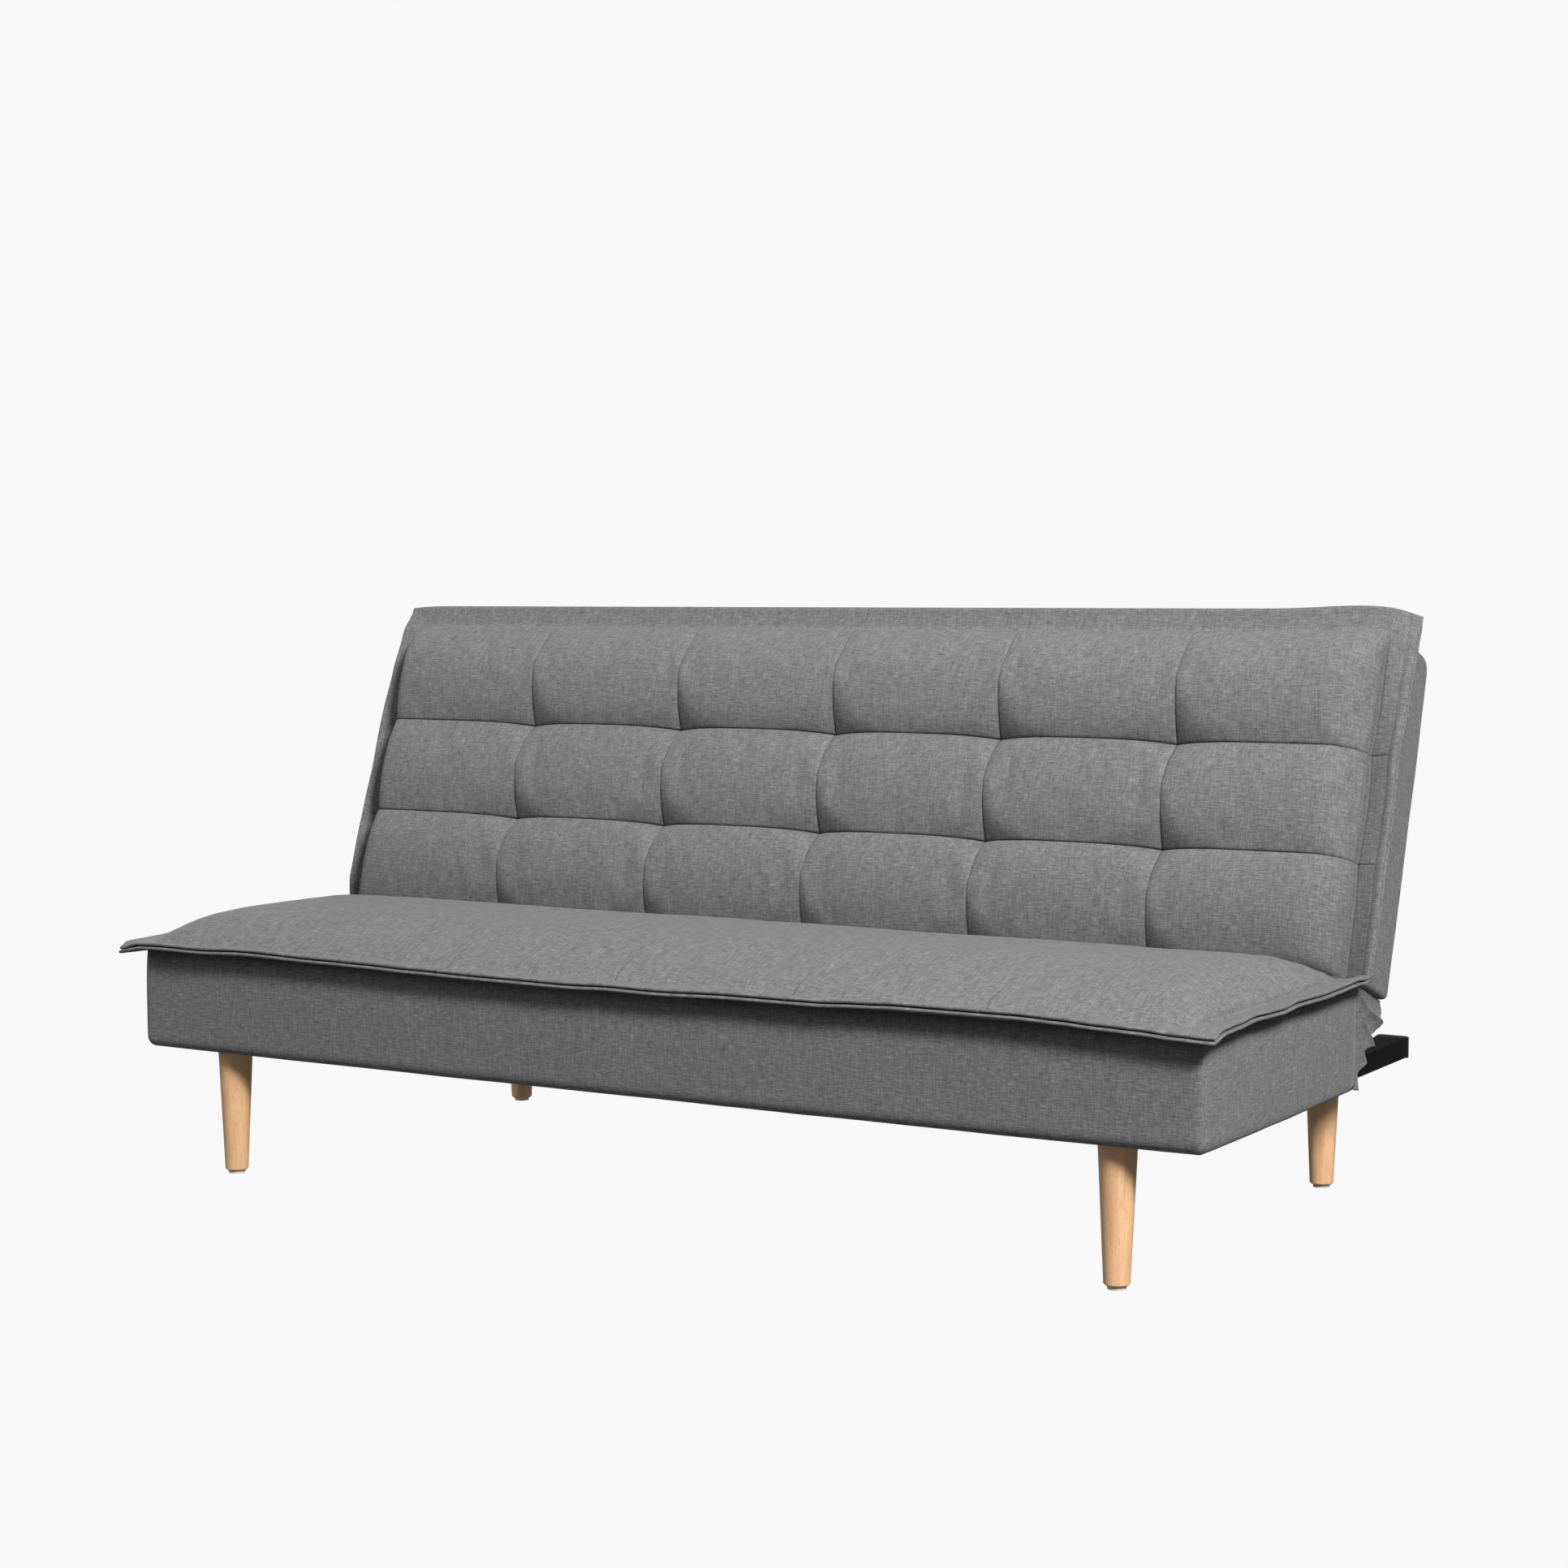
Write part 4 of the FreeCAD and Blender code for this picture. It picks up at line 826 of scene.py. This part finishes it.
def makeSeatCover():
    plan = boxCover
    low = np.minimum(flatBox("seat_apron_left")[0], flatBox("seat_apron_front")[0])
    high = np.maximum(flatBox("seat_apron_right")[1], flatBox("seat_apron_front")[1])
    inner = flatBox("seat_side_board_right")[0][0]
    bm = boxBetween(low, high)
    gone = [face for face in bm.faces if face.normal.z > 0.9 or face.normal.y > 0.9]
    bmesh.ops.delete(bm, geom=gone, context="FACES")
    upright = [edge for edge in bm.edges if not edge.is_boundary and len(edge.link_faces) == 2
               and abs(edge.verts[0].co.z - edge.verts[1].co.z) > mm]
    roundEdges(bm, upright, plan["cornerRound"])
    foot = [edge for edge in bm.edges if len(edge.link_faces) == 2
            and all(abs(vertex.co.z - low[2]) < 1e-5 for vertex in edge.verts)]
    roundEdges(bm, foot, plan["bottomRound"])
    ends = [edge for edge in bm.edges if edge.is_boundary
            and all(abs(v.co.y - high[1]) < 1e-5 for v in edge.verts)
            and all(abs(v.co.x) > inner for v in edge.verts)]
    turned = bmesh.ops.extrude_edge_only(bm, edges=ends)["geom"]
    for vertex in [item for item in turned if isinstance(item, bmesh.types.BMVert)]:
        vertex.co.x -= math.copysign(high[0] - inner, vertex.co.x)
    cutEvery(bm, low, high, plan["cell"])
    for side in (-1, 1):
        cutAcross(bm, (side * (high[0] - plan["tuck"]), 0, 0), (1, 0, 0))
    cutAcross(bm, (0, low[1] + plan["tuck"], 0), (0, 1, 0))
    bm.normal_update()
    inside = [face for face in bm.faces if max(vertex.co.z for vertex in face.verts) < low[2] + 0.3 * mm
              and abs(face.calc_center_median().x) < high[0] - plan["tuck"]
              and face.calc_center_median().y > low[1] + plan["tuck"]]
    bmesh.ops.delete(bm, geom=inside, context="FACES")
    faceOut(bm, low, high)
    boxWeave(bm)
    bm.normal_update()
    relaxFabric(bm, low, high, plan["bulge"], 1.7)
    for vertex in bm.verts:
        if vertex.co.z > high[2] - 0.5 * mm:
            vertex.co.z += plan["topReach"]
    cover = finishPiece(bm, "seatBoxCover", still, "frame",
                        ["seat_apron_front", "seat_apron_left", "seat_apron_right"])
    addSolidify(cover, plan["thickness"])
    panel = paddedPanel("seatRearCover", "seat_apron_rear", still, "frame")
    print("seat box covered")


def paddedPanel(name, node, place, body):
    # a flat padded panel with rounded edges in the place of a CAD node
    low, high = flatBox(node, place)
    bm = boxBetween(low, high)
    roundEdges(bm, bm.edges[:], 3 * mm, 3)
    cutEvery(bm, low, high, 30 * mm)
    bm.normal_update()
    boxWeave(bm)
    return finishPiece(bm, name, place, body, [node])


def makeBackCover():
    plan = boxCover
    panels = ["back_side_panel_left", "back_side_panel_right", "back_top_panel", "back_bottom_panel",
              "back_rear_panel"]
    boxes = [flatBox(node, swing) for node in panels]
    low, high = np.min([box[0] for box in boxes], axis=0), np.max([box[1] for box in boxes], axis=0)
    low[1] -= plan["backDrop"]
    arm = [swing.inverted() @ vertex.co for vertex in frame["nodes"]["hinge_arm_right"].data.vertices]
    passing = [point for point in arm if abs(point.y - low[1]) < 40 * mm]
    slot = (min(p.x for p in arm) - 4 * mm, max(p.x for p in arm) + 3 * mm)
    slotZ = (min(p.z for p in passing) - 5 * mm, max(p.z for p in passing) + 5 * mm)
    bm = boxBetween(low, high)
    bmesh.ops.delete(bm, geom=[face for face in bm.faces if face.normal.z > 0.9], context="FACES")
    crown = [edge for edge in bm.edges if not edge.is_boundary
             and abs(edge.verts[0].co.x - edge.verts[1].co.x) > 2 * mm
             and all(v.co.y > high[1] - mm and v.co.z < low[2] + mm for v in edge.verts)]
    roundEdges(bm, crown, plan["backRound"], 6)
    sharp = [edge for edge in bm.edges if len(edge.link_faces) == 2 and edge.calc_face_angle() > 0.9]
    roundEdges(bm, sharp, plan["edgeRound"])
    cutEvery(bm, low, high, plan["cell"])
    for edgeX in slot:
        cutAcross(bm, (edgeX, 0, 0), (1, 0, 0))
        cutAcross(bm, (-edgeX, 0, 0), (1, 0, 0))
    for height in slotZ:
        cutAcross(bm, (0, 0, height), (0, 0, 1))
    window = []  # the hinge arms pass through here
    for face in bm.faces:
        spot = face.calc_center_median()
        if spot.y < low[1] + 10 * mm and slot[0] < abs(spot.x) < slot[1] and slotZ[0] < spot.z < slotZ[1]:
            window.append(face)
    bmesh.ops.delete(bm, geom=window, context="FACES")
    faceOut(bm, low, high)
    boxWeave(bm)
    bm.normal_update()
    relaxFabric(bm, low, high, plan["backBulge"], 4.2)
    for vertex in bm.verts:
        vertex.co.z = max(vertex.co.z, low[2] - 1.0 * mm)  # clear of the rails when it lies flat
        if vertex.is_boundary and vertex.co.z > high[2] - 5 * mm and vertex.co.y > low[1] + 30 * mm:
            vertex.co.z = high[2] + plan["topReach"]
    cover = finishPiece(bm, "backBoxCover", swing, "back", panels)
    addSolidify(cover, plan["thickness"])
    print("back box covered")


gusset = {"rings": 22, "spokes": 60, "fold": 5 * mm, "folds": 4.2, "foldLean": 0.035,
          "crumple": 4 * mm, "fineCrumple": 1.6 * mm, "frill": 1.3 * mm, "hemDrift": 4 * mm, "gather": 0.6,
          # how far the hem bags out, from the seat's end (0) to the back's (1)
          "bagMm": [(0, 0), (0.12, 14), (0.3, 11), (0.45, 6), (0.62, 16), (0.8, 24), (0.92, 20), (1, 0)]}


def flatWeave(bm, first, second):
    # lays the weave on straight along two axes
    weave = bm.loops.layers.uv.new("weave")
    for face in bm.faces:
        for loop in face.loops:
            loop[weave].uv = (loop.vert.co[first], loop.vert.co[second])


def makeGusset(side, hand):
    # a fan of slack cloth from the seat box's rear edge to the back box's lower edge, bunched into folds
    low, high = flatBox(f"gusset_{hand}")
    boxLow, boxHigh = flatBox("back_side_panel_right", swing)
    seatHigh = flatBox("seat_apron_right")[1]
    plan = gusset
    x = side * (seatHigh[0] - 2.5 * mm)
    rearFace = seatHigh[1] + 1.2 * mm
    lowerEnd = Vector((x, rearFace, low[2] - 8 * mm))
    backEnd = swing @ Vector((x, boxLow[1] - 9 * mm, boxLow[2] + 4 * mm))
    apexSeat = Vector((x, rearFace, high[2] - 12 * mm))
    apexBack = swing @ Vector((x, boxLow[1] - 9 * mm, boxHigh[2] - 12 * mm))
    bm = bmesh.new()
    bmesh.ops.create_grid(bm, x_segments=plan["spokes"], y_segments=plan["rings"], size=0.5)
    for vertex in bm.verts:
        turn, out = vertex.co.x + 0.5, vertex.co.y + 0.5  # from seat to back, and out from the crease
        hollow = math.sin(math.pi * turn)
        slack = min(1.0, 2.2 * hollow) * (0.15 + 0.85 * out)
        phase = plan["folds"] * 2 * math.pi * (turn + 0.05 * math.sin(4 * out + side))
        turn += plan["foldLean"] * slack * math.sin(phase + 1.2)
        turn = min(max(turn, 0), 1)
        near = apexSeat.lerp(apexBack, turn)
        far = lowerEnd.lerp(backEnd, turn)
        frill = plan["frill"] * math.sin(turn * 120)
        frill += plan["hemDrift"] * noise.noise(Vector((turn * 8, side * 4.0, 1)))
        bag = curveThrough(plan["bagMm"], turn) * mm + frill * min(1.0, 4 * hollow)
        far += (far - near).normalized() * bag
        spot = near.lerp(far, out)
        crumple = noise.noise(Vector((turn * 6, out * 4, side * 3.0)))
        fine = noise.noise(Vector((turn * 17, out * 11, side * 5.0)))
        spot.x += side * slack * (plan["fold"] * math.sin(phase) + plan["crumple"] * crumple
                                  + plan["fineCrumple"] * fine)
        spot.y = max(spot.y, rearFace)
        vertex.co = spot
    flatWeave(bm, 1, 2)
    bmesh.ops.recalc_face_normals(bm, faces=bm.faces)
    area = sum(face.calc_area() for face in bm.faces)
    piece = finishPiece(bm, f"gusset{hand.capitalize()}", still, None, [f"gusset_{hand}"])
    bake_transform(piece, "frame", "back", start=lowerEnd.lerp(apexSeat, 0.4), end=backEnd.lerp(apexBack, 0.35))
    addSolidify(piece, 1.2 * mm, 0.0)
    smooth = piece.modifiers.new("smooth", "SUBSURF")
    smooth.levels = smooth.render_levels = 1
    print(f"gusset made, {hand}")


def makeCreaseStrip():
    # closes the gap under the crease, from the seat's edge to the back's
    low, high = flatBox("crease_fabric")
    seatEnd = flatBox("seat_cushion_underside")[1][1]
    backLow = flatBox("back_cushion_underside", swing)[0]
    start = Vector((0, seatEnd - 3 * mm, low[2] - 1 * mm))
    end = swing @ Vector((0, backLow[1] + 3 * mm, backLow[2] - 1 * mm))
    middle = Vector((0, pivot.y - 12 * mm, low[2] - 3 * mm))
    bm = bmesh.new()
    bmesh.ops.create_grid(bm, x_segments=60, y_segments=10, size=0.5)
    for vertex in bm.verts:
        x, t = vertex.co.x * (high[0] - low[0]), vertex.co.y + 0.5
        spot = start.lerp(middle, t).lerp(middle.lerp(end, t), t)
        vertex.co = Vector((x, spot.y, spot.z + 0.8 * mm * noise.noise(Vector((x / (60 * mm), t, 0)))))
    flatWeave(bm, 0, 1)
    piece = finishPiece(bm, "creaseStrip", still, None, ["crease_fabric"])
    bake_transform(piece, "frame", "back", start=start, end=end)
    addSolidify(piece, 1.2 * mm, 0.0)
    print("crease strip made")


tube = {"corner": 3.5 * mm, "endRound": 0.7 * mm}


def makeTube(name, node, slot, corner):
    # a rounded bar in the place of a square-cornered one
    low, high = flatBox(node)
    bm = boxBetween(low, high)
    longest = int(np.argmax(high - low))
    edges = [edge for edge in bm.edges if abs(edge.verts[0].co[longest] - edge.verts[1].co[longest]) > mm]
    roundEdges(bm, edges, corner, 5)
    ends = [edge for edge in bm.edges if edge.calc_face_angle() > 1.2]
    roundEdges(bm, ends, tube["endRound"], 2)
    return finishPiece(bm, name, still, "frame", [node], slot=slot)


def makeRails():
    for hand in ("left", "right"):
        makeTube(f"rail{hand.capitalize()}", f"rail_{hand}", "black_steel", tube["corner"])
    print("rails rounded")


def makeFoam(name, node, place, body):
    # a slab cut from a block, its edges softened by the cover
    low, high = flatBox(node, place)
    bm = boxBetween(low, high)
    roundEdges(bm, bm.edges[:], 6 * mm)
    slab = finishPiece(bm, name, place, body, [node], slot="foam")


dust = {"cell": 24 * mm, "sag": 0.6 * mm}


def makeDustCover():
    # thin cloth stapled tight across the underside
    low, high = flatBox("seat_dust_cover")
    bm = bmesh.new()
    columns, rows = (round((high[axis] - low[axis]) / dust["cell"]) for axis in (0, 1))
    bmesh.ops.create_grid(bm, x_segments=columns, y_segments=rows, size=0.5)
    for vertex in bm.verts:
        x = (low[0] + high[0]) / 2 + vertex.co.x * (high[0] - low[0])
        y = (low[1] + high[1]) / 2 + vertex.co.y * (high[1] - low[1])
        slack = (1 - abs(2 * vertex.co.x) ** 4) * (1 - abs(2 * vertex.co.y) ** 4)
        ripple = noise.noise(Vector((x / (70 * mm), y / (70 * mm), 3)))
        vertex.co = Vector((x, y, high[2] - 0.5 * mm + (0.5 * ripple - 0.5) * dust["sag"] * slack))
    sheet = finishPiece(bm, "dustCover", still, "frame", ["seat_dust_cover"], slot="dust_cloth")
    addSolidify(sheet, 0.6 * mm, 0.0)
    print("dust cover made")


view = {
    "lensMm": 66.8, "sensorMm": 36.0, "yaw": 30.66, "pitch": -3.76,
    "fromFront": Vector((2.2424, -3.2970, 0.8882)),  # from the middle of the seat's front edge, on the floor
}
stage = {
    "pale": "f8f8f8", "size": 60.0, "worldLight": 0.162,
    # place, aim, size and watts
    "lights": {
        "key": ((5.3, -3.7, 5.05), (0, 0, 0.35), (1.7, 1.7), 800),
        "fill": ((-5.2, -2.2, 2.0), (-0.3, 0.1, 0.5), (2.6, 2.0), 62),
        "overhead": ((-0.2, -0.3, 3.6), (0, 0, 0.4), (2.6, 1.6), 33),
        "rear": ((-2.4, 5.2, 2.4), (0, 0.4, 0.4), (2.6, 2.6), 230),
    },
}


def makeCamera():
    camera = link("camera", bpy.data.cameras.new("camera"))
    camera.data.sensor_width = view["sensorMm"]
    camera.data.lens = view["lensMm"]
    camera.location = view["fromFront"] + Vector((0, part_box("seat_cushion")[0].y, 0))
    camera.rotation_euler = (math.radians(90 + view["pitch"]), 0, math.radians(view["yaw"]))
    bpy.context.scene.camera = camera


def areaLight(name, place, target, size, watts):
    lamp = bpy.data.lights.new(name, "AREA")
    lamp.shape = "RECTANGLE"
    lamp.size, lamp.size_y = size
    lamp.energy = watts
    light = link(name, lamp)
    light.location = place
    light.rotation_euler = (Vector(target) - Vector(place)).to_track_quat("-Z", "Y").to_euler()
    light.visible_glossy = name != "rear"  # the rear light leaves no glint on the rails


def makeStage():
    # a pale floor that takes hardly any shadow, and soft light mostly from above and from the right
    bm = bmesh.new()
    bmesh.ops.create_grid(bm, x_segments=1, y_segments=1, size=stage["size"])
    mesh = bpy.data.meshes.new("studioFloor")
    bm.to_mesh(mesh)
    bm.free()
    floor = link("studioFloor", mesh)
    material = bpy.data.materials.new("paleStudioFloor")
    material.use_nodes = True
    tree = material.node_tree
    tree.nodes.clear()
    glow = addNode(tree, "ShaderNodeEmission", {"Color": linear(stage["pale"]), "Strength": 1.0})
    output = addNode(tree, "ShaderNodeOutputMaterial")
    tree.links.new(glow.outputs["Emission"], output.inputs["Surface"])
    mesh.materials.append(material)
    floor.visible_diffuse = False
    floor.visible_glossy = False
    floor.visible_shadow = False
    world = bpy.data.worlds.new("studio")
    bpy.context.scene.world = world
    world.use_nodes = True
    tree = world.node_tree
    tree.nodes.clear()
    seen = addNode(tree, "ShaderNodeBackground", {"Color": linear(stage["pale"]), "Strength": 1.0})
    cast = addNode(tree, "ShaderNodeBackground", {"Color": (1, 1, 1, 1), "Strength": stage["worldLight"]})
    ray = addNode(tree, "ShaderNodeLightPath")
    mixed = addNode(tree, "ShaderNodeMixShader", links={"Fac": ray.outputs["Is Camera Ray"]})
    tree.links.new(cast.outputs["Background"], mixed.inputs[1])
    tree.links.new(seen.outputs["Background"], mixed.inputs[2])
    output = addNode(tree, "ShaderNodeOutputWorld")
    tree.links.new(mixed.outputs["Shader"], output.inputs["Surface"])
    for name, settings in stage["lights"].items():
        areaLight(name, *settings)
    bpy.context.scene.view_settings.view_transform = "Standard"
    bpy.context.scene.view_settings.look = "None"


def finishCadNodes():
    slots = {entry["node"]: entry["material_slot"] for entry in frame["record"]["subparts"]}
    for node, piece in frame["nodes"].items():
        slot = slots.get(node)
        if slot in finishes and slot != "grey_fabric":
            for materialSlot in piece.material_slots:
                materialSlot.material = finishes[slot]
            if not piece.material_slots:
                piece.data.materials.append(finishes[slot])


finishes = makeFinishes()
makeCamera()
makeStage()
finishCadNodes()
makeSeatCushion()
makeBackCushion()
makeSeatCover()
makeBackCover()
for side, hand in ((-1, "left"), (1, "right")):
    makeGusset(side, hand)
makeCreaseStrip()
makeFoam("seatFoam", "seat_base_foam", still, "frame")
makeFoam("backFoam", "back_foam", swing, "back")
makeDustCover()
makeRails()
